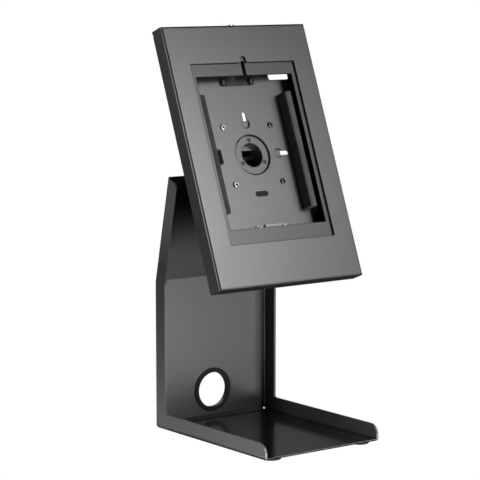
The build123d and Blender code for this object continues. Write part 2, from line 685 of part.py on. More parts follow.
def make_vesa_screws():
    length = TRAY_SHEET + PLATE_THICKNESS
    one = screw(VESA_HEAD_RADIUS, VESA_HEAD_HEIGHT, VESA_BOLT_RADIUS, length)
    return group(on_face(Pos(u, v, -TRAY_FACE_DEPTH) * one) for u, v in vesa_places())


# Rear tray and what it carries
def keyhole(angle):
    """A keyhole above the hub, turned about the hub's axis."""
    opening = Pos(0, KEYHOLE_OFFSET) * Circle(KEYHOLE_RADIUS)
    tip = KEYHOLE_TIP - KEYHOLE_SLOT_WIDTH / 2
    slot = Pos(0, (KEYHOLE_OFFSET + tip) / 2) * Rectangle(KEYHOLE_SLOT_WIDTH, tip - KEYHOLE_OFFSET)
    end = Pos(0, tip) * Circle(KEYHOLE_SLOT_WIDTH / 2)
    return Pos(0, SCREEN_V) * Rot(0, 0, angle) * (opening + slot + end)


def hook_places():
    return (-HOOK_U, HOOK_U)


def make_rear_tray():
    front = TRAY_FACE_DEPTH - TRAY_FLANGE
    side = TRAY_HALF_WIDTH
    body = slab(-side, side, TRAY_BOTTOM, TRAY_TOP, -TRAY_BACK, -front)
    body = fillet(body.edges().group_by(Axis.Z)[0], TRAY_BEND_RADIUS)
    inset = TRAY_SHEET
    room = slab(-side + inset, side - inset, TRAY_BOTTOM + inset, TRAY_TOP - inset, -TRAY_FACE_DEPTH, 0)
    body = body - fillet(room.edges().group_by(Axis.Z)[0], TRAY_BEND_RADIUS - TRAY_SHEET)
    past = TRAY_FACE_DEPTH - TRAY_SHEET
    beyond = TRAY_BACK + TRAY_SHEET
    cuts = [Pos(0, SCREEN_V) * Circle(RING_RADIUS + RING_HOLE_GAP)]
    cuts += [Pos(u, v) * Circle(VESA_HOLE_RADIUS) for u, v in vesa_places()]
    cuts += [keyhole(0), keyhole(-90)]
    tie_slot = SlotOverall(TIE_SLOT_LENGTH, TIE_SLOT_WIDTH)
    cuts.append(Pos(0, SCREEN_V - TIE_SLOT_OFFSET) * tie_slot)
    cuts.append(Pos(-TIE_SLOT_OFFSET, SCREEN_V) * Rot(0, 0, 90) * tie_slot)
    camera_top = CAMERA_SLOT_BOTTOM + CAMERA_SLOT_HEIGHT
    camera = (CAMERA_SLOT_LEFT, CAMERA_SLOT_RIGHT, CAMERA_SLOT_BOTTOM, camera_top)
    cuts.append(rounded_window(*camera, CAMERA_SLOT_CORNER))
    cuts += [Pos(u, v) * Circle(SMALL_SCREW_RADIUS + RUNNING_GAP) for u, v in small_screw_places()]
    for cut in cuts:
        body = body - through(cut, past, beyond)
    notch_half = LOCK_NUT_ACROSS / math.sqrt(3) + LOCK_NOTCH_SIDE_GAP
    notch_end = LOCK_DEPTH + LOCK_NUT_ACROSS / 2 + LOCK_NOTCH_END_GAP
    notch_low = TRAY_TOP - TRAY_SHEET * 2
    body = body - slab(-notch_half, notch_half, notch_low, TRAY_TOP + TRAY_SHEET, -notch_end, 0)
    half = TRAY_SHEET / 2
    hook_end = -FACE_HEIGHT / 2 + HOOK_RECESS
    for u in hook_places():
        edges = (u - HOOK_WIDTH / 2, u + HOOK_WIDTH / 2, hook_end, TRAY_BOTTOM + inset)
        body = body + slab(*edges, -HOOK_DEPTH - half, -HOOK_DEPTH + half)
    return on_face(body)


def make_foam(u):
    low = SCREEN_V - FOAM_LENGTH / 2
    high = SCREEN_V + FOAM_LENGTH / 2
    body = slab(u, u + FOAM_WIDTH, low, high, -TRAY_FACE_DEPTH, -MASK_BACK - FOAM_FACE_GAP)
    body = fillet(body.edges().group_by(Axis.Z)[-1], FOAM_ROUND)
    return on_face(body)


def keeper_screw_places():
    return [(side * KEEPER_SCREW_SPREAD / 2, KEEPER_SCREW_V) for side in (-1, 1)]


def clamp_screw_places():
    return [(CLAMP_U + side * CLAMP_SPREAD / 2, CLAMP_V) for side in (-1, 1)]


def small_screw_places():
    return keeper_screw_places() + clamp_screw_places()


def make_lock_keeper():
    seat = -TRAY_FACE_DEPTH
    half = KEEPER_HALF_WIDTH
    web_top = KEEPER_WEB_V + KEEPER_SHEET
    lip_top = CAM_TOP + KEEPER_LIP_OVERLAP
    body = slab(-half, half, KEEPER_BOTTOM, web_top, seat, seat + KEEPER_SHEET)
    body = fillet(body.edges().filter_by(Axis.Z).group_by(Axis.Y)[0], KEEPER_SHEET * 2)
    body = body + slab(-KEEPER_LIP_FAR, KEEPER_LIP_FAR, KEEPER_WEB_V, web_top, seat, -KEEPER_LIP_FRONT)
    lip_ends = (-KEEPER_LIP_FAR, -KEEPER_LIP_NEAR)
    lip = slab(*lip_ends, KEEPER_WEB_V, lip_top, -KEEPER_LIP_BACK, -KEEPER_LIP_FRONT)
    body = body + lip
    for u, v in keeper_screw_places():
        body = body - disc(SMALL_SCREW_RADIUS + RUNNING_GAP, seat, seat + KEEPER_SHEET, u, v)
    return on_face(body)


def make_cable_clamp():
    seat = -TRAY_FACE_DEPTH
    top = seat + CLAMP_RISE
    low = CLAMP_V - CLAMP_WIDTH / 2
    high = CLAMP_V + CLAMP_WIDTH / 2
    inner = (CLAMP_SPREAD - CLAMP_FOOT) / 2
    outer = (CLAMP_SPREAD + CLAMP_FOOT) / 2
    body = slab(CLAMP_U - inner, CLAMP_U + inner, low, high, top - CLAMP_SHEET, top)
    for side in (-1, 1):
        near = CLAMP_U + side * (inner - CLAMP_SHEET)
        mid = CLAMP_U + side * inner
        far = CLAMP_U + side * outer
        body = body + slab(min(near, mid), max(near, mid), low, high, seat, top)
        body = body + slab(min(mid, far), max(mid, far), low, high, seat, seat + CLAMP_SHEET)
    for u, v in clamp_screw_places():
        body = body - disc(SMALL_SCREW_RADIUS + RUNNING_GAP, seat, seat + CLAMP_SHEET, u, v)
    return on_face(body)


def small_screws(places, seat_height):
    length = seat_height + TRAY_SHEET + SMALL_SCREW_TAIL
    one = screw(SMALL_HEAD_RADIUS, SMALL_HEAD_HEIGHT, SMALL_SCREW_RADIUS, length)
    return group(on_face(Pos(u, v, seat_height - TRAY_FACE_DEPTH) * one) for u, v in places)


# Front cover and what it carries
def make_front_cover():
    half_u = FACE_WIDTH / 2
    half_v = FACE_HEIGHT / 2
    body = slab(-half_u, half_u, -half_v, half_v, -COVER_DEPTH, 0)
    body = fillet(body.edges().group_by(Axis.Z)[-1], COVER_BEND_RADIUS)
    in_u = half_u - COVER_SHEET
    in_v = half_v - COVER_SHEET
    room = slab(-in_u, in_u, -in_v, in_v, -COVER_DEPTH - COVER_SHEET, -COVER_SHEET)
    body = body - fillet(room.edges().group_by(Axis.Z)[-1], COVER_BEND_RADIUS - COVER_SHEET)
    window = rounded_window(-WINDOW_HALF_WIDTH, WINDOW_HALF_WIDTH, WINDOW_BOTTOM, WINDOW_TOP, WINDOW_CORNER)
    body = body - through(window, -COVER_SHEET, COVER_SHEET * 2)
    notch_left = NOTCH_U - NOTCH_WIDTH / 2
    notch_right = NOTCH_U + NOTCH_WIDTH / 2
    notch_low = WINDOW_TOP - NOTCH_HEIGHT
    notch = rounded_window(notch_left, notch_right, notch_low, WINDOW_TOP + NOTCH_HEIGHT, NOTCH_CORNER)
    body = body - through(notch, -COVER_SHEET, COVER_SHEET * 2)
    lock_hole = Cylinder(LOCK_BODY_RADIUS + RUNNING_GAP, COVER_SHEET * 4, rotation=(90, 0, 0))
    body = body - Pos(0, half_v, -LOCK_DEPTH) * lock_hole
    near = HOOK_DEPTH - HOOK_SLOT_HALF
    far = HOOK_DEPTH + HOOK_SLOT_HALF
    for u in hook_places():
        wide = HOOK_WIDTH / 2 + HOOK_SIDE_GAP
        body = body - slab(u - wide, u + wide, -half_v - COVER_SHEET, -in_v + COVER_SHEET, -far, -near)
    relief_top = in_v - COVER_RELIEF_DROP
    for side in (-1, 1):
        outer = side * (half_u + COVER_SHEET)
        inner = side * (in_u - COVER_SHEET)
        span = (min(outer, inner), max(outer, inner), relief_top - COVER_RELIEF_WIDTH, relief_top)
        body = body - slab(*span, -COVER_DEPTH - COVER_SHEET, -COVER_DEPTH + COVER_RELIEF_DEPTH)
    return on_face(body)


def stud_places():
    heights = (STUD_BOTTOM_V, SCREEN_V, STUD_TOP_V)
    return [(side * STUD_U, v) for side in (-1, 1) for v in heights]


def make_mask_frame():
    outer = MASK_OUTER_HALF_WIDTH
    sheet = rounded_window(-outer, outer, MASK_OUTER_BOTTOM, MASK_OUTER_TOP, MASK_CORNER * 2)
    window = rounded_window(-MASK_HALF_WIDTH, MASK_HALF_WIDTH, MASK_BOTTOM, MASK_TOP, MASK_CORNER)
    slot_left = NOTCH_U - MASK_SLOT_WIDTH / 2
    slot_right = NOTCH_U + MASK_SLOT_WIDTH / 2
    slot_low = MASK_TOP - MASK_SLOT_WIDTH
    slot = rounded_window(slot_left, slot_right, slot_low, MASK_SLOT_TOP, MASK_SLOT_CORNER)
    body = through(sheet - window - slot, MASK_DEPTH, MASK_BACK)
    for u, v in stud_places():
        body = body - disc(STUD_RADIUS + RUNNING_GAP, -MASK_BACK, -MASK_DEPTH, u, v)
    return on_face(body)


def make_mask_studs():
    tip = MASK_BACK + STUD_NUT_HEIGHT + STUD_PROUD
    return group(on_face(disc(STUD_RADIUS, -tip, -COVER_SHEET, u, v)) for u, v in stud_places())


def make_mask_spacers():
    one = washer(SPACER_RADIUS, STUD_RADIUS + RUNNING_GAP, -MASK_DEPTH, -COVER_SHEET)
    return group(on_face(Pos(u, v, 0) * one) for u, v in stud_places())


def make_mask_nuts():
    one = hex_nut(STUD_NUT_ACROSS, STUD_NUT_HEIGHT, STUD_RADIUS + RUNNING_GAP)
    seat = -MASK_BACK - STUD_NUT_HEIGHT
    return group(on_face(Pos(u, v, seat) * one) for u, v in stud_places())


# Cam lock
def on_lock(piece):
    return lock_plane.location * piece


def make_lock_housing():
    head = disc(LOCK_HEAD_RADIUS, 0, LOCK_HEAD_HEIGHT)
    head = fillet(head.edges().group_by(Axis.Z)[-1], LOCK_HEAD_EDGE)
    body = head + disc(LOCK_BODY_RADIUS, -LOCK_LENGTH, 0)
    return on_lock(body - disc(CORE_RADIUS + RUNNING_GAP, -LOCK_LENGTH, LOCK_HEAD_HEIGHT))


def make_lock_nut():
    nut = hex_nut(LOCK_NUT_ACROSS, LOCK_NUT_HEIGHT, LOCK_BODY_RADIUS + RUNNING_GAP)
    return on_lock(Pos(0, 0, -COVER_SHEET - LOCK_NUT_HEIGHT) * nut)


def make_lock_core():
    tail = -LOCK_LENGTH - CORE_TAIL
    body = disc(CORE_RADIUS, tail, LOCK_HEAD_HEIGHT - RUNNING_GAP)
    half_length = KEY_SLOT_LENGTH / 2
    half_width = KEY_SLOT_WIDTH / 2
    floor = LOCK_HEAD_HEIGHT - KEY_SLOT_DEPTH
    body = body - slab(-half_width, half_width, -half_length, half_length, floor, LOCK_HEAD_HEIGHT)
    return on_lock(body - disc(CAM_SCREW_RADIUS + RUNNING_GAP, tail, tail + CAM_SCREW_REACH))


def make_lock_cam():
    top = -LOCK_LENGTH - CORE_TAIL
    low = top - CAM_THICKNESS
    half = CAM_WIDTH / 2
    body = disc(half, low, top) + slab(-half, half, 0, CAM_LENGTH - half, low, top)
    body = body + disc(half, low, top, 0, CAM_LENGTH - half)
    return on_lock(body - disc(CAM_SCREW_RADIUS + RUNNING_GAP, low, top))


def make_cam_screw():
    seat = -LOCK_LENGTH - CORE_TAIL - CAM_THICKNESS
    length = CAM_THICKNESS + CAM_SCREW_REACH - RUNNING_GAP
    one = screw(CAM_SCREW_HEAD_RADIUS, CAM_SCREW_HEAD_HEIGHT, CAM_SCREW_RADIUS, length)
    return on_lock(Pos(0, 0, seat) * Rot(180, 0, 0) * one)


nodes = {
    "stand_body": make_stand_body(),
    "rubber_feet": make_rubber_feet(),
    "cable_grommet": make_cable_grommet(),
    "stand_bracket": make_stand_bracket(),
    "stand_bracket_screws": make_bracket_screws(),
    "stand_bracket_nuts": make_bracket_nuts(),
    "hinge_bolt": make_hinge_bolt(),
    "hinge_nut": make_hinge_nut(),
    "hinge_washers": make_hinge_washers(),
    "hinge_friction_washers": make_friction_washers(),
    "hinge_spacer": make_hinge_spacer(),
    "tilt_yoke": make_tilt_yoke(),
    "tilt_yoke_screws": make_yoke_screws(),
    "turn_hub": make_turn_hub(),
    "turn_stop_pin": make_stop_pin(),
    "turn_slip_washer": make_slip_washer(),
    "turn_retaining_ring": make_retaining_ring(),
    "turn_ring_screws": make_ring_screws(),
    "mounting_plate": make_mounting_plate(),
    "mounting_plate_screws": make_vesa_screws(),
    "rear_tray": make_rear_tray(),
    "foam_bar_left": make_foam(FOAM_LEFT_U),
    "foam_bar_right": make_foam(FOAM_RIGHT_U),
    "lock_keeper": make_lock_keeper(),
    "lock_keeper_screws": small_screws(keeper_screw_places(), KEEPER_SHEET),
    "cable_clamp": make_cable_clamp(),
    "cable_clamp_screws": small_screws(clamp_screw_places(), CLAMP_SHEET),
    "front_cover": make_front_cover(),
    "mask_frame": make_mask_frame(),
    "mask_studs": make_mask_studs(),
    "mask_spacers": make_mask_spacers(),
    "mask_nuts": make_mask_nuts(),
    "lock_housing": make_lock_housing(),
    "lock_nut": make_lock_nut(),
    "lock_core": make_lock_core(),
    "lock_cam": make_lock_cam(),
    "lock_cam_screw": make_cam_screw(),
}

os.makedirs("parts", exist_ok=True)
for name, piece in nodes.items():
    export_step(piece, f"parts/{name}.step")

named_points = {
    "tilt hinge": hinge_point,
    "turn axis": hinge_point + face_out * HINGE_DEPTH,
    "face centre": face_origin,
    "face out": face_out,
    "face up": face_up,
    "lock": lock_origin,
    "hook line": face_origin - face_up * (FACE_HEIGHT / 2 - COVER_SHEET / 2) - face_out * HOOK_DEPTH,
}
for name, point in named_points.items():
    print(name, ", ".join(f"{value:.4f}" for value in point))
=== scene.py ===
"""Tablet stand for a shop counter: looks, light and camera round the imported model."""

import json
import math

import bmesh
import bpy
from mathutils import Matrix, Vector
from mathutils.noise import noise as noise_at


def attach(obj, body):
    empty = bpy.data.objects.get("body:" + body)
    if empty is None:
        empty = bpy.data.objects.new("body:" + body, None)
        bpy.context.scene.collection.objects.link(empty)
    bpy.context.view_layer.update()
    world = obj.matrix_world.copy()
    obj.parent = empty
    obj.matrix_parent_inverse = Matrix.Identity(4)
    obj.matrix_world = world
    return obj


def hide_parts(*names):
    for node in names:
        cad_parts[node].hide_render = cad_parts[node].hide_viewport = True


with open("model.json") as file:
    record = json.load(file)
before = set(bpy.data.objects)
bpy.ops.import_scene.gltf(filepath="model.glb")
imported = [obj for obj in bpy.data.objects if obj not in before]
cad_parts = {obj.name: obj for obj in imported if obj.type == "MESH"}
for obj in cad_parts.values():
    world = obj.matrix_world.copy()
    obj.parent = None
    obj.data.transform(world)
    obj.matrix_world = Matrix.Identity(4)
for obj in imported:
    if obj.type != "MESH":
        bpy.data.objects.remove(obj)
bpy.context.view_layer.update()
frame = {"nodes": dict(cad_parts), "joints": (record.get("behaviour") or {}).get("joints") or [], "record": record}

MM = 0.001
NODES = frame["nodes"]
JOINTS = {joint["name"]: joint for joint in frame["joints"]}
SLOT_OF_NODE = {part["node"]: part["material_slot"] for part in frame["record"]["subparts"]}

# The enclosure's own directions: out of the screen, up its face and across it, and the hub's centre
FACE_OUT = Vector(JOINTS["turn"]["axis"])
FACE_UP = Vector(JOINTS["lock_turn"]["axis"])
ACROSS = Vector((1.0, 0.0, 0.0))
HUB_CENTRE = Vector(JOINTS["turn"]["pos_m"])

# Square out of the front of the stand's leaning top
LEAN = math.radians(12.2)
LEAN_OUT = Vector((0.0, -math.cos(LEAN), -math.sin(LEAN)))


def on_face(across, up):
    """A place on the enclosure's face, given in millimetres from the hub's centre."""
    return HUB_CENTRE + (ACROSS * across + FACE_UP * up) * MM


# Helpers for objects and meshes
def add_object(name, data):
    """A new object in the scene, at the origin."""
    thing = bpy.data.objects.new(name, data)
    bpy.context.scene.collection.objects.link(thing)
    return thing


def smooth_mesh(shape, name):
    """Turns a bmesh into a smooth shaded mesh, and frees it."""
    for face in shape.faces:
        face.smooth = True
    mesh = bpy.data.meshes.new(name)
    shape.to_mesh(mesh)
    shape.free()
    return mesh


# Helpers for node trees
def plug(tree, place, value):
    """Gives a node's input a fixed value, or a socket to follow."""
    if isinstance(value, bpy.types.NodeSocket):
        tree.links.new(value, place)
    else:
        place.default_value = value


def add_node(tree, kind, **inputs):
    """A new node with its inputs given by name, such as Size_X for Size X."""
    node = tree.nodes.new(kind)
    for name, value in inputs.items():
        plug(tree, node.inputs[name.replace("_", " ")], value)
    return node


def maths(tree, operation, first, second=0.0):
    """One step of arithmetic on two numbers or sockets, as a socket."""
    node = tree.nodes.new("ShaderNodeMath")
    node.operation = operation
    plug(tree, node.inputs[0], first)
    plug(tree, node.inputs[1], second)
    return node.outputs["Value"]


def vector_maths(tree, operation, first, second, result):
    """The same on vectors, as the socket named by result; some operations take no second one."""
    node = tree.nodes.new("ShaderNodeVectorMath")
    node.operation = operation
    plug(tree, node.inputs[0], first)
    if second is not None:
        plug(tree, node.inputs[1], second)
    return node.outputs[result]


def less_share(tree, level, share):
    """A level less this share of itself."""
    return maths(tree, "MULTIPLY", level, maths(tree, "SUBTRACT", 1.0, share))


# Helpers for materials. A noise mostly stays between these two values
NOISE_RANGE = (0.35, 0.65)


def new_material(name, metallic=0.0, shine=0.5):
    """A material, its node tree and its shader's inputs."""
    material = bpy.data.materials.new(name)
    material.use_nodes = True
    tree = material.node_tree
    inputs = tree.nodes["Principled BSDF"].inputs
    inputs["Metallic"].default_value = metallic
    inputs["Specular IOR Level"].default_value = shine
    return material, tree, inputs


def object_place(tree):
    """Each point's place on the object, as a socket."""
    return tree.nodes.new("ShaderNodeTexCoord").outputs["Object"]


def noise(tree, place, scale, detail, roughness):
    """An even random pattern over the surface, as a value."""
    node = add_node(tree, "ShaderNodeTexNoise", Vector=place, Scale=scale, Detail=detail, Roughness=roughness)
    return node.outputs["Fac"]


def spread(tree, value, low, high, from_low=NOISE_RANGE[0], from_high=NOISE_RANGE[1]):
    """A value that runs from from_low to from_high, turned into the range low to high."""
    node = add_node(
        tree, "ShaderNodeMapRange",
        Value=value, To_Min=low, To_Max=high, From_Min=from_low, From_Max=from_high,
    )
    return node.outputs["Result"]


def tint(tree, value, dark, light):
    """A colour between dark and light, chosen by a noise value."""
    node = add_node(tree, "ShaderNodeValToRGB", Fac=value)
    for stop, position, colour in zip(node.color_ramp.elements, NOISE_RANGE, (dark, light)):
        stop.position = position
        stop.color = (*colour, 1.0)
    return node.outputs["Color"]


def grey(tree, level):
    """The grey of this level, as a colour."""
    return add_node(tree, "ShaderNodeCombineXYZ", X=level, Y=level, Z=level).outputs["Vector"]


def bump(tree, inputs, height, strength, distance, below=None):
    """Raises a surface by a value, on top of the bump below where there is one."""
    node = add_node(tree, "ShaderNodeBump", Strength=strength, Distance=distance, Height=height)
    if below is not None:
        plug(tree, node.inputs["Normal"], below)
    plug(tree, inputs["Normal"], node.outputs["Normal"])
    return node.outputs["Normal"]


# A band of painted shade, darker and rougher, is whole up to the first share of its width, and gone from the
# second one on
SHADE_WHOLE_SHARE = 0.6
SHADE_GONE_SHARE = 1.2


def shade_band_mask(tree, away, width):
    """The mask of a painted shade band: 1 beside an edge, 0 further away from it than about this width, in
    millimetres.
    """
    return spread(tree, away, 1.0, 0.0, width * SHADE_WHOLE_SHARE * MM, width * SHADE_GONE_SHARE * MM)


def rim_shade_mask(tree, place, rim):
    """Painted shade mask: 1 beside a round rim, 0 elsewhere; a rim of no radius is a round spot."""
    centre, axis, radius, width = rim
    offset = vector_maths(tree, "SUBTRACT", place, centre, "Vector")
    from_axis = vector_maths(tree, "CROSS_PRODUCT", offset, axis, "Vector")
    reach = vector_maths(tree, "LENGTH", from_axis, None, "Value")
    return shade_band_mask(tree, maths(tree, "ABSOLUTE", maths(tree, "SUBTRACT", reach, radius * MM)), width)


def window_shade_mask(tree, place, window):
    """Painted shade mask: 1 beside the edge of a window in the enclosure's face, 0 elsewhere."""
    centre, half_wide, half_high, width = window
    past_sides = []
    for direction, half in ((ACROSS, half_wide), (FACE_UP, half_high)):
        along = vector_maths(tree, "DOT_PRODUCT", place, direction, "Value")
        from_centre = maths(tree, "SUBTRACT", along, centre.dot(direction))
        past_sides.append(maths(tree, "SUBTRACT", maths(tree, "ABSOLUTE", from_centre), half * MM))
    return shade_band_mask(tree, maths(tree, "ABSOLUTE", maths(tree, "MAXIMUM", *past_sides)), width)


# Powder coat: each noise is its scale, detail and roughness, each relief a bump's strength and distance
COAT_GRAIN = (2600.0, 2.0, 0.6)
COAT_GREYS = (0.0085, 0.0115)
COAT_PATCHES = (60.0, 2.0, 0.5)
COAT_ROUGHNESS = (0.36, 0.38)
COAT_WAVES = (240.0, 1.0, 0.5)
WAVE_RELIEF = (0.05, 0.0004)
COAT_PEEL = (1100.0, 2.0, 0.5)
PEEL_RELIEF = (0.08, 0.00012)
COAT_SHINE = 0.62
PAINTED_SHADE_ROUGHNESS = 0.95

# The stand's own coat: two levels, and the two places in metres that they are reached at.
# By height, how much of its grey and its roughness the base's flat floor keeps; the grey it loses is painted shade
# under the enclosure
FLOOR_TOP = 6 * MM
FLOOR_EDGE = 8 * MM
FLOOR_PAINTED_SHADE = (0.4, 1.0, FLOOR_TOP, FLOOR_EDGE)
FLOOR_ROUGHNESS = (0.45, 1.0, FLOOR_TOP, FLOOR_EDGE)
# From front to back, a painted highlight: the pale grey of the base's front edge
FRONT_HIGHLIGHT_START = min(corner.co.y for corner in NODES["stand_body"].data.vertices) + 0.3 * MM
FRONT_PAINTED_HIGHLIGHT = (0.14, 0.0, FRONT_HIGHLIGHT_START, FRONT_HIGHLIGHT_START + 0.2 * MM)
# From the middle out to a side, the share of the painted light on a flange's inner face and on its outer one
FLANGE_LIGHT_INSIDE = (0.0, 0.45, 86.3 * MM, 86.7 * MM)
FLANGE_LIGHT_OUTSIDE = (0.0, 1.0, 88.3 * MM, 88.7 * MM)
# The painted light's grey from front to back, the share of it kept by height, and its grey on the leaning top
FLANGE_LIGHT_FORWARD = (0.075, 0.035, -116 * MM, 80 * MM)
FLANGE_LIGHT_LOW = (1.0, 0.35, 20 * MM, 70 * MM)
FLANGE_LIGHT_HIGH = (0.0, 0.06, 200 * MM, 270 * MM)


def flange_painted_light(tree, split):
    """Painted light: a paler grey on the stand's side flanges, 0 elsewhere."""
    from_middle = maths(tree, "ABSOLUTE", split["X"])
    inner = spread(tree, from_middle, *FLANGE_LIGHT_INSIDE)
    outer = spread(tree, from_middle, *FLANGE_LIGHT_OUTSIDE)
    low = maths(
        tree, "MULTIPLY", spread(tree, split["Y"], *FLANGE_LIGHT_FORWARD), spread(tree, split["Z"], *FLANGE_LIGHT_LOW),
    )
    painted_light = maths(tree, "MAXIMUM", low, spread(tree, split["Z"], *FLANGE_LIGHT_HIGH))
    return maths(tree, "MULTIPLY", maths(tree, "MAXIMUM", inner, outer), painted_light)


def make_powder_coat(name, shine=COAT_SHINE, rims=(), window=None, on_stand=False):
    """Satin dark grey powder coat: a fine orange peel over a slow waviness.

    The coat has painted shade, darker and rougher, in a thin band along its rims and round its window. On the
    stand it is also smoother on the base's floor, where it is painted darker as shade, with a pale painted
    highlight on the base's front edge and painted light on the side flanges.
    """
    material, tree, inputs = new_material(name, shine=shine)
    place = object_place(tree)
    level = spread(tree, noise(tree, place, *COAT_GRAIN), *COAT_GREYS)
    roughness = spread(tree, noise(tree, place, *COAT_PATCHES), *COAT_ROUGHNESS)
    if on_stand:
        split = add_node(tree, "ShaderNodeSeparateXYZ", Vector=place).outputs
        # Painted shade: the base's floor is darker low down, under the enclosure
        level = maths(tree, "MULTIPLY", level, spread(tree, split["Z"], *FLOOR_PAINTED_SHADE))
        roughness = maths(tree, "MULTIPLY", roughness, spread(tree, split["Z"], *FLOOR_ROUGHNESS))
    shade_masks = [rim_shade_mask(tree, place, rim) for rim in rims]
    if window is not None:
        shade_masks.append(window_shade_mask(tree, place, window))
    # Painted shade: each band darkens the coat and makes it rougher
    for shade_mask in shade_masks:
        level = less_share(tree, level, shade_mask)
        roughness = maths(tree, "MAXIMUM", roughness, maths(tree, "MULTIPLY", shade_mask, PAINTED_SHADE_ROUGHNESS))
    if on_stand:
        # Painted highlight along the base's front edge
        level = maths(tree, "MAXIMUM", level, spread(tree, split["Y"], *FRONT_PAINTED_HIGHLIGHT))
        # Painted light on the side flanges
        level = maths(tree, "MAXIMUM", level, flange_painted_light(tree, split))
    plug(tree, inputs["Base Color"], grey(tree, level))
    plug(tree, inputs["Roughness"], roughness)
    waves = bump(tree, inputs, noise(tree, place, *COAT_WAVES), *WAVE_RELIEF)
    bump(tree, inputs, noise(tree, place, *COAT_PEEL), *PEEL_RELIEF, below=waves)
    return material


# Zinc plated steel
STEEL_GRAIN = (3200.0, 3.0, 0.6)
STEEL_ROUGHNESS = (0.22, 0.4)
STEEL_RELIEF = (0.08, 0.00004)


def make_bright_steel(name, dark, light, right_shade_share=1.0, sockets=()):
    """Zinc plated steel with fine swirled scratches.

    Painted shade: the pieces on the right keep only this share of its grey, and the screws' sockets are painted
    black.
    """
    material, tree, inputs = new_material(name, metallic=1.0)
    place = object_place(tree)
    grain = noise(tree, place, *STEEL_GRAIN)
    level = spread(tree, grain, dark, light)
    # Painted shade on the pieces on the right
    if right_shade_share < 1.0:
        across = add_node(tree, "ShaderNodeSeparateXYZ", Vector=place).outputs["X"]
        level = maths(tree, "MULTIPLY", level, spread(tree, across, 1.0, right_shade_share, -MM, MM))
    # Painted shade in the screws' sockets
    for socket in sockets:
        level = less_share(tree, level, rim_shade_mask(tree, place, socket))
    plug(tree, inputs["Base Color"], grey(tree, level))
    plug(tree, inputs["Roughness"], spread(tree, grain, *STEEL_ROUGHNESS))
    bump(tree, inputs, grain, *STEEL_RELIEF)
    return material


def make_grained(name, grain, colours, roughness, relief=None, metallic=0.0, shine=0.5):
    """A finish whose grain varies its colour, its roughness and, where it has relief, its height.

    The grain is a noise's scale, detail and roughness, the relief a bump's strength and distance.
    """
    material, tree, inputs = new_material(name, metallic, shine)
    value = noise(tree, object_place(tree), *grain)
    plug(tree, inputs["Base Color"], tint(tree, value, *colours))
    plug(tree, inputs["Roughness"], spread(tree, value, *roughness))
    if relief is not None:
        bump(tree, inputs, value, *relief)
    return material


def make_black_steel():
    """Black oxide steel of the tilt bolt and of the bracket's, the ring's and the keeper's screws."""
    colours = ((0.022, 0.022, 0.023), (0.045, 0.045, 0.046))
    return make_grained(
        "black_oxide_steel", (2400.0, 3.0, 0.6), colours, (0.3, 0.48), (0.1, 0.00005), metallic=0.7,
    )


def make_dark_aluminium():
    """Dark anodised aluminium hub with fine turning marks."""
    colours = ((0.085, 0.085, 0.088), (0.12, 0.12, 0.124))
    return make_grained(
        "anodised_aluminium", (1800.0, 3.0, 0.6), colours, (0.27, 0.42), (0.06, 0.00004), metallic=0.8,
    )


def make_lock_chrome():
    """Polished plating of the lock, a little smeared."""
    colours = ((0.78, 0.78, 0.79), (0.86, 0.86, 0.87))
    return make_grained("polished_lock_plating", (400.0, 2.0, 0.5), colours, (0.08, 0.2), metallic=1.0)


RUBBER_GRAIN = (1500.0, 2.0, 0.6)
RUBBER_RELIEF = (0.15, 0.00008)
RUBBER_UNEVEN = 0.06


def make_rubber(name, dark, light, roughness, shine=0.5):
    """Moulded rubber or plastic with a faint grain."""
    roughnesses = (roughness - RUBBER_UNEVEN, roughness + RUBBER_UNEVEN)
    return make_grained(name, RUBBER_GRAIN, (dark, light), roughnesses, RUBBER_RELIEF, shine=shine)


FOAM_CELLS = 1400.0
FOAM_MOTTLE = (90.0, 3.0, 0.6)
FOAM_RELIEF = (0.4, 0.0003)
FOAM_ROUGHNESS = 0.95
FOAM_SHINE = 0.2


def make_foam(name, dark, light):
    """Charcoal closed-cell foam: open cut cells on a soft matte body."""
    material, tree, inputs = new_material(name, shine=FOAM_SHINE)
    place = object_place(tree)
    cells = add_node(tree, "ShaderNodeTexVoronoi", Vector=place, Scale=FOAM_CELLS, Randomness=1.0)
    mottle = noise(tree, place, *FOAM_MOTTLE)
    plug(tree, inputs["Base Color"], tint(tree, mottle, (dark, dark, dark), (light, light, light)))
    plug(tree, inputs["Roughness"], FOAM_ROUGHNESS)
    bump(tree, inputs, cells.outputs["Distance"], *FOAM_RELIEF)
    return material


FINISHES = {
    "powder_coat": make_powder_coat("satin_powder_coat"),
    "zinc_steel": make_bright_steel("zinc_plated_steel", dark=0.4, light=0.5),
    "black_steel": make_black_steel(),
    "cast_aluminium": make_dark_aluminium(),
    "lock_chrome": make_lock_chrome(),
    "grommet_rubber": make_rubber(
        "grommet_plastic", (0.004, 0.004, 0.0042), (0.007, 0.007, 0.0073), roughness=0.6, shine=0.12,
    ),
    "foot_rubber": make_rubber(
        "foot_rubber", (0.012, 0.012, 0.012), (0.022, 0.022, 0.022), roughness=0.75,
    ),
    "foam": make_foam("charcoal_foam", dark=0.019, light=0.029),
    "nylon": make_rubber("dark_nylon", (0.05, 0.05, 0.05), (0.07, 0.07, 0.07), roughness=0.5),
}


def rims_at(places, radius, width, axis=FACE_OUT):
    """Round rims with their radius, and the width of the painted shade band along them, in millimetres."""
    return [(place, axis, radius, width) for place in places]


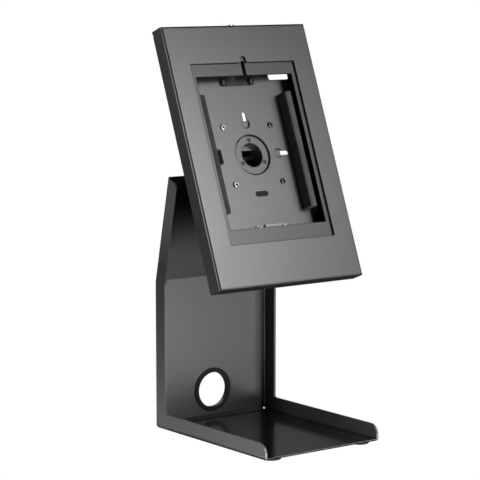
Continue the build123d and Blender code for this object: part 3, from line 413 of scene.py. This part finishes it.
# Where shade is painted on the coat as a dark, rough band, in millimetres on the enclosure's face
RIM_SHADE_WIDTH = 0.9
FINE_RIM_SHADE_WIDTH = 0.6
WINDOW_SHADE_WIDTH = 0.7
RING_RADIUS = 25.5
RING_BORE_RADIUS = 15.5
KEYHOLE_OFFSET = 41.0
KEYHOLES = (on_face(0.0, KEYHOLE_OFFSET), on_face(KEYHOLE_OFFSET, 0.0))
TRAY_KEYHOLE_RADIUS = 5.7
PLATE_KEYHOLE_RADIUS = 5.0
TIE_SLOT_END = on_face(-51.5, -6.5)
TIE_SLOT_END_RADIUS = 3.5
# Painted shade along the ring's edge and bore, the tray round the ring, the tie slot's end and the keyholes
RING_SHADE_RIMS = rims_at([HUB_CENTRE], RING_RADIUS, RIM_SHADE_WIDTH) + rims_at([HUB_CENTRE], RING_BORE_RADIUS, RIM_SHADE_WIDTH)
TRAY_SHADE_RIMS = (
    rims_at([HUB_CENTRE], RING_RADIUS + RIM_SHADE_WIDTH, RIM_SHADE_WIDTH)
    + rims_at([TIE_SLOT_END], TIE_SLOT_END_RADIUS, FINE_RIM_SHADE_WIDTH)
    + rims_at(KEYHOLES, TRAY_KEYHOLE_RADIUS, RIM_SHADE_WIDTH)
)
PLATE_SHADE_RIMS = rims_at(KEYHOLES, PLATE_KEYHOLE_RADIUS, FINE_RIM_SHADE_WIDTH)

# Painted shade: dark, rough spots on the keeper's two ends, and black spots in the sockets of the plate's screws
KEEPER_SHADE_SPOT = 5.5
KEEPER_END_SHADE = rims_at([on_face(-21.5, 96.5), on_face(19.5, 96.5)], 0.0, KEEPER_SHADE_SPOT)
SOCKET_SHADE_SPOT = 1.7
PLATE_SCREW_SIDES = (-37.5, 37.5)
PLATE_SCREW_PLACES = [on_face(across, up) for across in PLATE_SCREW_SIDES for up in PLATE_SCREW_SIDES]
PLATE_SOCKET_SHADE = rims_at(PLATE_SCREW_PLACES, 0.0, SOCKET_SHADE_SPOT)

# Painted shade in the fold between the base's floor and the upright
FLOOR_FOLD_CENTRE = Vector((0.0, 110.9, 7.0)) * MM
FLOOR_FOLD_RADIUS = 2.0
FLOOR_FOLD_SHADE = rims_at([FLOOR_FOLD_CENTRE], FLOOR_FOLD_RADIUS, RIM_SHADE_WIDTH, ACROSS)

# Painted shade round the two windows: centre, half width, half height and the shade band's width in millimetres
COVER_WINDOW_SHADE = (on_face(0.0, -1.65), 81.75, 116.75, WINDOW_SHADE_WIDTH)
MASK_WINDOW_SHADE = (HUB_CENTRE, 75.4, 98.9, WINDOW_SHADE_WIDTH)

# Pieces whose finish differs a little from the rest of their slot
OWN_FINISHES = {
    "stand_body": make_powder_coat("stand_powder_coat", rims=FLOOR_FOLD_SHADE, on_stand=True),
    "rear_tray": make_powder_coat("tray_powder_coat", rims=TRAY_SHADE_RIMS),
    "mounting_plate": make_powder_coat("plate_powder_coat", rims=PLATE_SHADE_RIMS),
    "turn_retaining_ring": make_powder_coat("ring_powder_coat", shine=0.58, rims=RING_SHADE_RIMS),
    "turn_ring_screws": FINISHES["black_steel"],
    # Painted light: the right bar is a paler copy of the same foam, standing in for the light that falls on it
    "foam_bar_right": make_foam("charcoal_foam_painted_light", dark=0.036, light=0.052),
    "front_cover": make_powder_coat("cover_powder_coat", window=COVER_WINDOW_SHADE),
    "mask_frame": make_powder_coat("mask_powder_coat", shine=0.42, window=MASK_WINDOW_SHADE),
    "lock_keeper": make_powder_coat("keeper_powder_coat", shine=0.14, rims=KEEPER_END_SHADE),
    "mounting_plate_screws": make_bright_steel(
        "zinc_steel_painted_shade", dark=0.26, light=0.38, right_shade_share=0.2, sockets=PLATE_SOCKET_SHADE,
    ),
    # Painted shade: the clamp is a much darker copy of the zinc plated steel
    "cable_clamp": make_bright_steel("clamp_zinc_steel_painted_shade", dark=0.07, light=0.1),
    "lock_keeper_screws": FINISHES["black_steel"],
}


def finish_of(node_name):
    return OWN_FINISHES.get(node_name, FINISHES[SLOT_OF_NODE[node_name]])


def dress(piece, node_name):
    """Gives a piece the finish that belongs to a CAD node."""
    piece.data.materials.clear()
    piece.data.materials.append(finish_of(node_name))


for node_name, node in NODES.items():
    dress(node, node_name)


# Turned hardware: a node tree turns an outline round its axis and sets it on every place
SIDES = 48
WELD_DISTANCE = 0.004 * MM
CREASE_ANGLE = 0.6
HEXAGON_SIDE = math.pi / 3


def add_tree_input(tree, name, kind, default=None):
    socket = tree.interface.new_socket(name=name, in_out="INPUT", socket_type=kind)
    if default is not None:
        socket.default_value = default


def weighted_sum(tree, sizes, terms):
    """The sum of named sizes, each times its share."""
    total = 0.0
    for name, share in terms.items():
        total = maths(tree, "ADD", total, maths(tree, "MULTIPLY", sizes[name], share))
    return total


def pick_by_station(tree, station, values):
    """The one of these numbers or sockets that belongs to a station of the outline."""
    switch = tree.nodes.new("GeometryNodeIndexSwitch")
    switch.data_type = "FLOAT"
    while len(switch.index_switch_items) < len(values):
        switch.index_switch_items.new()
    plug(tree, switch.inputs["Index"], station)
    for place, value in zip(switch.inputs[1:], values):
        plug(tree, place, value)
    return switch.outputs["Output"]


def turn_outline(tree, sizes, outline):
    """A closed skin: the outline's stations, turned round the Z axis."""
    grid = add_node(
        tree, "GeometryNodeMeshGrid",
        Size_X=1.0, Size_Y=1.0, Vertices_X=SIDES + 1, Vertices_Y=len(outline),
    )
    position = tree.nodes.new("GeometryNodeInputPosition").outputs["Position"]
    place = add_node(tree, "ShaderNodeSeparateXYZ", Vector=position).outputs
    # The grid is 1 across and centred, so that X + 0.5 runs once round and Y + 0.5 down the outline
    angle = maths(tree, "MULTIPLY", maths(tree, "ADD", place["X"], 0.5), 2 * math.pi)
    along = maths(tree, "MULTIPLY", maths(tree, "ADD", place["Y"], 0.5), float(len(outline) - 1))
    station = maths(tree, "ROUND", along)

    radii, heights, hexagon_shares = zip(*outline)
    radius = pick_by_station(tree, station, [weighted_sum(tree, sizes, terms) for terms in radii])
    height = pick_by_station(tree, station, [weighted_sum(tree, sizes, terms) for terms in heights])
    hexagon_share = pick_by_station(tree, station, hexagon_shares)

    half_side = HEXAGON_SIDE / 2
    in_side = maths(tree, "SUBTRACT", maths(tree, "MODULO", angle, HEXAGON_SIDE), half_side)
    hexagon = maths(tree, "DIVIDE", math.cos(half_side), maths(tree, "COSINE", in_side))
    pull = maths(tree, "MULTIPLY", hexagon_share, maths(tree, "SUBTRACT", hexagon, 1.0))
    reach = maths(tree, "MULTIPLY", radius, maths(tree, "ADD", pull, 1.0))
    turned = add_node(
        tree, "ShaderNodeCombineXYZ",
        X=maths(tree, "MULTIPLY", reach, maths(tree, "COSINE", angle)),
        Y=maths(tree, "MULTIPLY", reach, maths(tree, "SINE", angle)),
        Z=height,
    ).outputs["Vector"]
    skin = add_node(tree, "GeometryNodeSetPosition", Geometry=grid.outputs["Mesh"], Position=turned)
    weld = add_node(
        tree, "GeometryNodeMergeByDistance", Geometry=skin.outputs["Geometry"], Distance=WELD_DISTANCE,
    )
    return add_node(tree, "GeometryNodeFlipFaces", Mesh=weld.outputs["Geometry"]).outputs["Mesh"]


def shade_with_creases(tree, mesh):
    """Smooth shading, but sharp where two faces meet at more than the crease angle."""
    soften = add_node(tree, "GeometryNodeSetShadeSmooth", Geometry=mesh)
    soften.domain = "FACE"
    bend = tree.nodes.new("GeometryNodeInputMeshEdgeAngle").outputs["Unsigned Angle"]
    crease = add_node(
        tree, "GeometryNodeSetShadeSmooth",
        Geometry=soften.outputs["Geometry"],
        Selection=maths(tree, "GREATER_THAN", bend, CREASE_ANGLE),
        Shade_Smooth=False,
    )
    crease.domain = "EDGE"
    return crease.outputs["Geometry"]


def aim_and_spin(tree, axis, seed):
    """A rotation that points Z along the axis, with a chance spin about it for each point."""
    aim = add_node(tree, "FunctionNodeAlignRotationToVector", Vector=axis)
    aim.axis = "Z"
    chance = tree.nodes.new("FunctionNodeRandomValue")
    chance.data_type = "FLOAT"
    # By number, because the node has sockets of the same name for other kinds of value
    chance.inputs[3].default_value = 2 * math.pi
    plug(tree, chance.inputs["Seed"], seed)
    spin = add_node(
        tree, "FunctionNodeAxisAngleToRotation", Axis=(0.0, 0.0, 1.0), Angle=chance.outputs[1],
    )
    both = add_node(
        tree, "FunctionNodeRotateRotation",
        Rotation=aim.outputs["Rotation"], Rotate_By=spin.outputs["Rotation"],
    )
    both.rotation_space = "LOCAL"
    return both.outputs["Rotation"]


def make_turned_tree(name, size_names, outline):
    """A tree that turns an outline and puts the result on each point of a mesh."""
    tree = bpy.data.node_groups.new(name, "GeometryNodeTree")
    tree.is_modifier = True
    add_tree_input(tree, "Geometry", "NodeSocketGeometry")
    for size_name in size_names:
        add_tree_input(tree, size_name, "NodeSocketFloat", MM)
    add_tree_input(tree, "Axis", "NodeSocketVector")
    add_tree_input(tree, "Seed", "NodeSocketInt", 1)
    add_tree_input(tree, "Finish", "NodeSocketMaterial")
    tree.interface.new_socket(name="Geometry", in_out="OUTPUT", socket_type="NodeSocketGeometry")
    given = tree.nodes.new("NodeGroupInput").outputs

    skin = turn_outline(tree, {size_name: given[size_name] for size_name in size_names}, outline)
    setting = add_node(
        tree, "GeometryNodeInstanceOnPoints",
        Points=given["Geometry"],
        Instance=shade_with_creases(tree, skin),
        Rotation=aim_and_spin(tree, given["Axis"], given["Seed"]),
    )
    real = add_node(tree, "GeometryNodeRealizeInstances", Geometry=setting.outputs["Instances"])
    finish = add_node(
        tree, "GeometryNodeSetMaterial", Geometry=real.outputs["Geometry"], Material=given["Finish"],
    )
    add_node(tree, "NodeGroupOutput", Geometry=finish.outputs["Geometry"])
    return tree


# Outlines from the top centre down: radius, height over the seat, and how much of a hexagon
SCREW_SIZES = (
    "Head Radius", "Head Height", "Socket Radius", "Socket Depth", "Shank Radius", "Length",
)
BUTTON_SCREW = [
    ({}, {"Head Height": 1.0, "Socket Depth": -1.15}, 0.0),
    ({"Socket Radius": 0.85}, {"Head Height": 1.0, "Socket Depth": -1.0}, 1.0),
    ({"Socket Radius": 1.0}, {"Head Height": 1.0, "Socket Depth": -1.0}, 1.0),
    ({"Socket Radius": 1.0}, {"Head Height": 0.9}, 1.0),
    ({"Socket Radius": 1.14}, {"Head Height": 0.99}, 0.5),
    ({"Head Radius": 0.62}, {"Head Height": 1.0}, 0.0),
    ({"Head Radius": 0.76}, {"Head Height": 0.93}, 0.0),
    ({"Head Radius": 0.88}, {"Head Height": 0.78}, 0.0),
    ({"Head Radius": 0.96}, {"Head Height": 0.55}, 0.0),
    ({"Head Radius": 1.0}, {"Head Height": 0.28}, 0.0),
    ({"Head Radius": 1.0}, {"Head Height": 0.1}, 0.0),
    ({"Head Radius": 0.96}, {}, 0.0),
    ({"Shank Radius": 1.0}, {}, 0.0),
    ({"Shank Radius": 1.0}, {"Length": -1.0, "Shank Radius": 0.4}, 0.0),
    ({"Shank Radius": 0.7}, {"Length": -1.0}, 0.0),
    ({}, {"Length": -1.0}, 0.0),
]
NUT_SIZES = ("Corner Radius", "Height", "Bore Radius")
HEX_NUT = [
    ({"Bore Radius": 1.0}, {"Height": 0.08}, 0.0),
    ({"Bore Radius": 1.08}, {}, 0.0),
    ({"Corner Radius": 0.83}, {}, 0.0),
    ({"Corner Radius": 1.0}, {"Height": 0.13}, 1.0),
    ({"Corner Radius": 1.0}, {"Height": 0.87}, 1.0),
    ({"Corner Radius": 0.83}, {"Height": 1.0}, 0.0),
    ({"Bore Radius": 1.12}, {"Height": 1.0}, 0.0),
    ({"Bore Radius": 1.0}, {"Height": 0.92}, 0.0),
    ({"Bore Radius": 1.0}, {"Height": 0.08}, 0.0),
]
BOLT_SIZES = ("Corner Radius", "Head Height", "Shank Radius", "Length")
HEX_BOLT = [
    ({}, {"Head Height": 0.96}, 0.0),
    ({"Corner Radius": 0.66}, {"Head Height": 0.96}, 0.0),
    ({"Corner Radius": 0.72}, {"Head Height": 1.0}, 0.0),
    ({"Corner Radius": 0.83}, {"Head Height": 1.0}, 0.0),
    ({"Corner Radius": 1.0}, {"Head Height": 0.85}, 1.0),
    ({"Corner Radius": 1.0}, {}, 1.0),
    ({"Shank Radius": 1.0}, {}, 0.0),
    ({"Shank Radius": 1.0}, {"Length": -1.0, "Shank Radius": 0.3}, 0.0),
    ({"Shank Radius": 0.78}, {"Length": -1.0}, 0.0),
    ({}, {"Length": -1.0}, 0.0),
]
SCREW_TREE = make_turned_tree("button_screws", SCREW_SIZES, BUTTON_SCREW)
NUT_TREE = make_turned_tree("hex_nuts", NUT_SIZES, HEX_NUT)
BOLT_TREE = make_turned_tree("hex_bolts", BOLT_SIZES, HEX_BOLT)

# Corners of the CAD's loose triangles closer than this are one corner
SAME_CORNER = 0.001 * MM
# Seats are put in order by their places, rounded to this many digits of a metre
SEAT_DIGITS = 5


def solids_of(node_name):
    """The corner points of each separate solid in a CAD node."""
    shape = bmesh.new()
    shape.from_mesh(NODES[node_name].data)
    bmesh.ops.remove_doubles(shape, verts=shape.verts, dist=SAME_CORNER)
    solids = []
    seen = set()
    for start in shape.verts:
        if start in seen:
            continue
        seen.add(start)
        reached = [start]
        for corner in reached:
            for edge in corner.link_edges:
                other = edge.other_vert(corner)
                if other not in seen:
                    seen.add(other)
                    reached.append(other)
        solids.append([corner.co.copy() for corner in reached])
    shape.free()
    return solids


def seats(node_name, axis, height):
    """Where the head or nut of each solid sits: its middle, this height below its top end."""
    side = axis.orthogonal().normalized()
    cross = axis.cross(side)
    found = []
    for corners in solids_of(node_name):
        spans = [[corner.dot(direction) for corner in corners] for direction in (axis, side, cross)]
        top = max(spans[0]) - height
        across, over = ((min(span) + max(span)) / 2 for span in spans[1:])
        found.append(axis * top + side * across + cross * over)
    return sorted(found, key=lambda seat: tuple(round(value, SEAT_DIGITS) for value in seat))


def set_hardware(node_name, tree, body, axis, height, sizes, seed):
    """Replaces a CAD group of screws, nuts or bolts with turned ones at the same seats."""
    places = bpy.data.meshes.new(node_name + "_places")
    places.from_pydata(seats(node_name, axis, height * MM), [], [])
    maker = add_object(node_name + "_maker", places)
    modifier = maker.modifiers.new("hardware", "NODES")
    modifier.node_group = tree
    given = {name: value * MM for name, value in sizes.items()}
    given.update({"Axis": tuple(axis), "Seed": seed, "Finish": finish_of(node_name)})
    for item in tree.interface.items_tree:
        if item.in_out == "INPUT" and item.name in given:
            modifier[item.identifier] = given[item.name]
    depsgraph = bpy.context.evaluated_depsgraph_get()
    mesh = bpy.data.meshes.new_from_object(maker.evaluated_get(depsgraph), depsgraph=depsgraph)
    bpy.data.objects.remove(maker)
    piece = add_object(node_name + "_turned", mesh)
    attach(piece, body)
    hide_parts(node_name)


def length_along(node_name, axis):
    """How long the first solid of a node is along an axis, in millimetres."""
    span = [corner.dot(axis) for corner in solids_of(node_name)[0]]
    return (max(span) - min(span)) / MM


# How wide a screw's socket is, as a share of its head
SOCKET_OF_HEAD = 0.48


def set_screws(node_name, body, axis, head_radius, head_height, shank_radius, depth_share, seed):
    """Sets a group of button screws; depth_share is how much of the head its socket goes through."""
    sizes = {
        "Head Radius": head_radius,
        "Head Height": head_height,
        "Socket Radius": head_radius * SOCKET_OF_HEAD,
        "Socket Depth": head_height * depth_share,
        "Shank Radius": shank_radius,
        "Length": length_along(node_name, axis) - head_height,
    }
    set_hardware(node_name, SCREW_TREE, body, axis, head_height, sizes, seed)


def set_nuts(node_name, body, axis, across_flats, height, bore, seed):
    sizes = {"Corner Radius": across_flats / math.sqrt(3), "Height": height, "Bore Radius": bore}
    set_hardware(node_name, NUT_TREE, body, axis, height, sizes, seed)


def set_bolt(node_name, body, axis, across_flats, head_height, shank_radius, seed):
    sizes = {
        "Corner Radius": across_flats / math.sqrt(3),
        "Head Height": head_height,
        "Shank Radius": shank_radius,
        "Length": length_along(node_name, axis) - head_height,
    }
    set_hardware(node_name, BOLT_TREE, body, axis, head_height, sizes, seed)


# Screws: node, body, where the head points, its radius and height, the shank's radius, the share of the
# head's height that its socket goes down, and the seed
SCREWS = [
    ("mounting_plate_screws", "enclosure", FACE_OUT, 4.0, 2.4, 2.0, 0.85, 3),
    ("lock_keeper_screws", "enclosure", FACE_OUT, 3.6, 2.2, 1.5, 0.6, 5),
    ("cable_clamp_screws", "enclosure", FACE_OUT, 3.6, 2.2, 1.5, 0.6, 8),
    ("turn_ring_screws", "tilt_head", FACE_OUT, 2.75, 1.2, 1.5, 0.6, 4),
    ("tilt_yoke_screws", "tilt_head", -FACE_OUT, 3.6, 2.2, 2.0, 0.6, 6),
    ("stand_bracket_screws", "stand", -LEAN_OUT, 4.75, 2.8, 2.5, 0.6, 2),
    ("lock_cam_screw", "lock_barrel", -FACE_UP, 2.75, 2.0, 1.5, 0.6, 1),
]
for screws in SCREWS:
    set_screws(*screws)

# The bolt: node, body, where its head points, its size across flats and height, the shank's radius, seed
set_bolt("hinge_bolt", "stand", -ACROSS, 13.0, 5.3, 4.0, 7)

# Nuts: node, body, where the nut's outer face points, its size across flats, height, bore radius, seed
NUTS = [
    ("hinge_nut", "stand", ACROSS, 13.0, 8.0, 4.05, 9),
    ("stand_bracket_nuts", "stand", LEAN_OUT, 8.0, 4.0, 2.55, 12),
    ("mask_nuts", "cover", -FACE_OUT, 5.5, 2.4, 1.55, 10),
]
for nuts in NUTS:
    set_nuts(*nuts)


# Foam bars: soft edges, a crowned front, a flat glued back, and a cut that is uneven in long and
# short waves, given by their length and height
FOAM_EDGE = 2.0 * MM
FOAM_CROWN = 0.8 * MM
FOAM_BACK = 0.1 * MM
LONG_WAVE = 9 * MM
LONG_WAVE_HEIGHT = 0.22 * MM
SHORT_WAVE = 2.2 * MM
SHORT_WAVE_HEIGHT = 0.08 * MM
FOAM_LAYERS = 96


def rounded_ring(half_wide, half_deep, radius, steps=5, along_side=6):
    """Points round a rectangle with rounded corners, starting at its right side."""
    points = []
    inner = (
        (half_wide - radius, half_deep - radius),
        (radius - half_wide, half_deep - radius),
        (radius - half_wide, radius - half_deep),
        (half_wide - radius, radius - half_deep),
    )
    for quarter, (x, y) in enumerate(inner):
        for step in range(steps + 1):
            angle = math.pi / 2 * (quarter + step / steps)
            points.append(Vector((x + radius * math.cos(angle), y + radius * math.sin(angle))))
        onward = Vector(inner[(quarter + 1) % len(inner)])
        angle = math.pi / 2 * (quarter + 1)
        first = points[-1]
        last = onward + radius * Vector((math.cos(angle), math.sin(angle)))
        points += [first.lerp(last, step / along_side) for step in range(1, along_side)]
    return points


def make_foam_bar(node_name, seed):
    """A cut foam strip in the plain solid's place."""
    corners = [corner for solid in solids_of(node_name) for corner in solid]
    spans = [[corner.dot(direction) for corner in corners] for direction in (ACROSS, FACE_UP, FACE_OUT)]
    middle = [(min(span) + max(span)) / 2 for span in spans]
    half_wide, half_long, half_deep = ((max(span) - min(span)) / 2 for span in spans)
    shape = bmesh.new()
    layers = []
    for layer_number in range(FOAM_LAYERS + 1):
        height = -half_long * math.cos(math.pi * layer_number / FOAM_LAYERS)
        from_end = min(half_long - abs(height), FOAM_EDGE)
        inset = FOAM_EDGE - math.sqrt(max(FOAM_EDGE**2 - (FOAM_EDGE - from_end) ** 2, 0.0))
        layer = []
        for point in rounded_ring(half_wide - inset, half_deep - inset, FOAM_EDGE):
            crown = FOAM_CROWN * (1 - (point.x / half_wide) ** 2) if point.y > 0 else 0.0
            long_wave = noise_at(Vector((point.x, height, point.y + seed)) / LONG_WAVE)
            short_wave = noise_at(Vector((point.x, height, point.y - seed)) / SHORT_WAVE)
            rough = long_wave * LONG_WAVE_HEIGHT + short_wave * SHORT_WAVE_HEIGHT
            outward = point.normalized() if point.length > 0 else point
            # The glued back stays flat
            on_back = point.y < FOAM_BACK - half_deep
            deep = point.y if on_back else point.y + crown + rough * outward.y
            place = ACROSS * (middle[0] + point.x + rough * outward.x) + FACE_UP * (middle[1] + height)
            layer.append(shape.verts.new(place + FACE_OUT * (middle[2] + deep)))
        layers.append(layer)
    count = len(layers[0])
    for low, high in zip(layers, layers[1:]):
        for step in range(count):
            onward = (step + 1) % count
            shape.faces.new((low[step], low[onward], high[onward], high[step]))
    shape.faces.new(layers[0])
    shape.faces.new(layers[-1])
    bmesh.ops.recalc_face_normals(shape, faces=shape.faces)
    bar = add_object(node_name + "_cut", smooth_mesh(shape, node_name + "_cut"))
    dress(bar, node_name)
    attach(bar, "enclosure")
    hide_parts(node_name)


make_foam_bar("foam_bar_left", seed=3.1)
make_foam_bar("foam_bar_right", seed=7.7)


# Floor and surround, in metres: a flat floor, a bend, and a domed ceiling over the wall
COVE_FLOOR_RADIUS = 4.5
COVE_BEND_RADIUS = 1.5
COVE_WALL_TOP = 3.0
COVE_CEILING_RISE = 3.5
COVE_BEND_STEPS = 12
COVE_CEILING_STEPS = 16
COVE_TURNS = 64
COVE_MIDDLE = 0.001
PAPER_ROUGHNESS = 0.9


def cove_outline():
    """Radius and height from the floor's middle, up the wall and over to the ceiling's middle."""
    outline = [(0.0, 0.0), (COVE_FLOOR_RADIUS * 0.5, 0.0)]
    for step in range(COVE_BEND_STEPS + 1):
        angle = math.pi / 2 * step / COVE_BEND_STEPS
        radius = COVE_FLOOR_RADIUS + COVE_BEND_RADIUS * math.sin(angle)
        outline.append((radius, COVE_BEND_RADIUS * (1 - math.cos(angle))))
    wall_radius = COVE_FLOOR_RADIUS + COVE_BEND_RADIUS
    for step in range(COVE_CEILING_STEPS + 1):
        angle = math.pi / 2 * step / COVE_CEILING_STEPS
        outline.append((wall_radius * math.cos(angle), COVE_WALL_TOP + COVE_CEILING_RISE * math.sin(angle)))
    return outline


def make_pale_paper():
    """Paper that is equally white all over, and mirrors nothing."""
    material, tree, inputs = new_material("even_pale_paper", shine=0.0)
    plug(tree, inputs["Base Color"], (0.0, 0.0, 0.0, 1.0))
    plug(tree, inputs["Roughness"], PAPER_ROUGHNESS)
    plug(tree, inputs["Emission Color"], (1.0, 1.0, 1.0, 1.0))
    plug(tree, inputs["Emission Strength"], 1.0)
    return material


def make_studio_cove():
    """A pale floor that curves up into a plain wall and ceiling all round, seen only by the camera."""
    shape = bmesh.new()
    angles = [2 * math.pi * turn / COVE_TURNS for turn in range(COVE_TURNS)]
    rings = []
    for radius, height in cove_outline():
        if radius < COVE_MIDDLE:
            rings.append([shape.verts.new((0.0, 0.0, height))] * COVE_TURNS)
        else:
            around = [(radius * math.cos(angle), radius * math.sin(angle), height) for angle in angles]
            rings.append([shape.verts.new(place) for place in around])
    for low, high in zip(rings, rings[1:]):
        for turn in range(COVE_TURNS):
            onward = (turn + 1) % COVE_TURNS
            # At a middle two corners are one, and the face is a triangle
            corners = dict.fromkeys((low[turn], low[onward], high[onward], high[turn]))
            shape.faces.new(list(corners))
    bmesh.ops.recalc_face_normals(shape, faces=shape.faces)
    bmesh.ops.reverse_faces(shape, faces=shape.faces)
    cove = add_object("studio_cove", smooth_mesh(shape, "studio_cove"))
    cove.data.materials.append(make_pale_paper())
    cove.visible_diffuse = False
    cove.visible_glossy = False
    cove.visible_transmission = False
    cove.visible_shadow = False


# Camera, as fitted to the photograph: metres, degrees and millimetres
CAMERA_PLACE = (-1.58386, -2.05016, 0.59754)
CAMERA_AZIMUTH = -36.985
CAMERA_PITCH = -7.6
CAMERA_FOCAL = 155.46
CAMERA_SENSOR = 36.0
CAMERA_REACH = 100.0

# Round softboxes on a globe about the stand, in metres
SOFTBOX_AIM = Vector((0.0, 0.0, 0.27))
SOFTBOX_DISTANCE = 1.4
SOFTBOX_SIZE = 0.45
# Name, degrees right of the camera, degrees up and power in watts
SOFTBOXES = [
    ("front_right_high", 60.0, 30.0, 13.7),
    ("front_right_higher", 60.0, 45.0, 3.1),
    ("front_right", 60.0, 15.0, 5.4),
    ("front_right_low", 60.0, -15.0, 5.8),
    ("front_low", 20.0, -15.0, 5.1),
    ("front_lower", 40.0, -30.0, 10.0),
    ("right_high", 80.0, 30.0, 1.5),
    ("right", 80.0, 15.0, 0.8),
    ("right_low", 80.0, -15.0, 1.5),
    ("front_left", -60.0, 10.0, 10.9),
    ("left", -90.0, 10.0, 0.9),
    ("left_low", -90.0, -25.0, 1.3),
    ("back_left_low", -120.0, -25.0, 1.3),
    ("back_left", -150.0, 10.0, 18.2),
    ("back_low", -150.0, -25.0, 2.0),
    ("behind", 180.0, 10.0, 0.08),
]
WORLD_STRENGTH = 0.035


def make_softbox(name, turn, rise, power):
    data = bpy.data.lights.new(name + "_softbox", "AREA")
    data.shape = "DISK"
    data.size = SOFTBOX_SIZE
    data.energy = power
    light = add_object(name + "_softbox", data)
    heading = math.atan2(CAMERA_PLACE[1], CAMERA_PLACE[0]) + math.radians(turn)
    level = math.cos(math.radians(rise))
    away = Vector((math.cos(heading) * level, math.sin(heading) * level, math.sin(math.radians(rise))))
    light.location = SOFTBOX_AIM + away * SOFTBOX_DISTANCE
    light.rotation_euler = (-away).to_track_quat("-Z", "Y").to_euler()
    light.visible_camera = False


def make_camera():
    data = bpy.data.cameras.new("camera")
    data.sensor_width = CAMERA_SENSOR
    data.lens = CAMERA_FOCAL
    data.clip_end = CAMERA_REACH
    camera = add_object("camera", data)
    camera.location = CAMERA_PLACE
    camera.rotation_euler = (math.radians(90.0 + CAMERA_PITCH), 0.0, math.radians(CAMERA_AZIMUTH))
    bpy.context.scene.camera = camera


def make_world():
    """A faint even white light from all round."""
    world = bpy.data.worlds.new("studio")
    bpy.context.scene.world = world
    world.use_nodes = True
    background = world.node_tree.nodes["Background"].inputs
    background["Color"].default_value = (1.0, 1.0, 1.0, 1.0)
    background["Strength"].default_value = WORLD_STRENGTH


make_studio_cove()
for softbox in SOFTBOXES:
    make_softbox(*softbox)
make_camera()
make_world()
bpy.context.scene.view_settings.view_transform = "Standard"
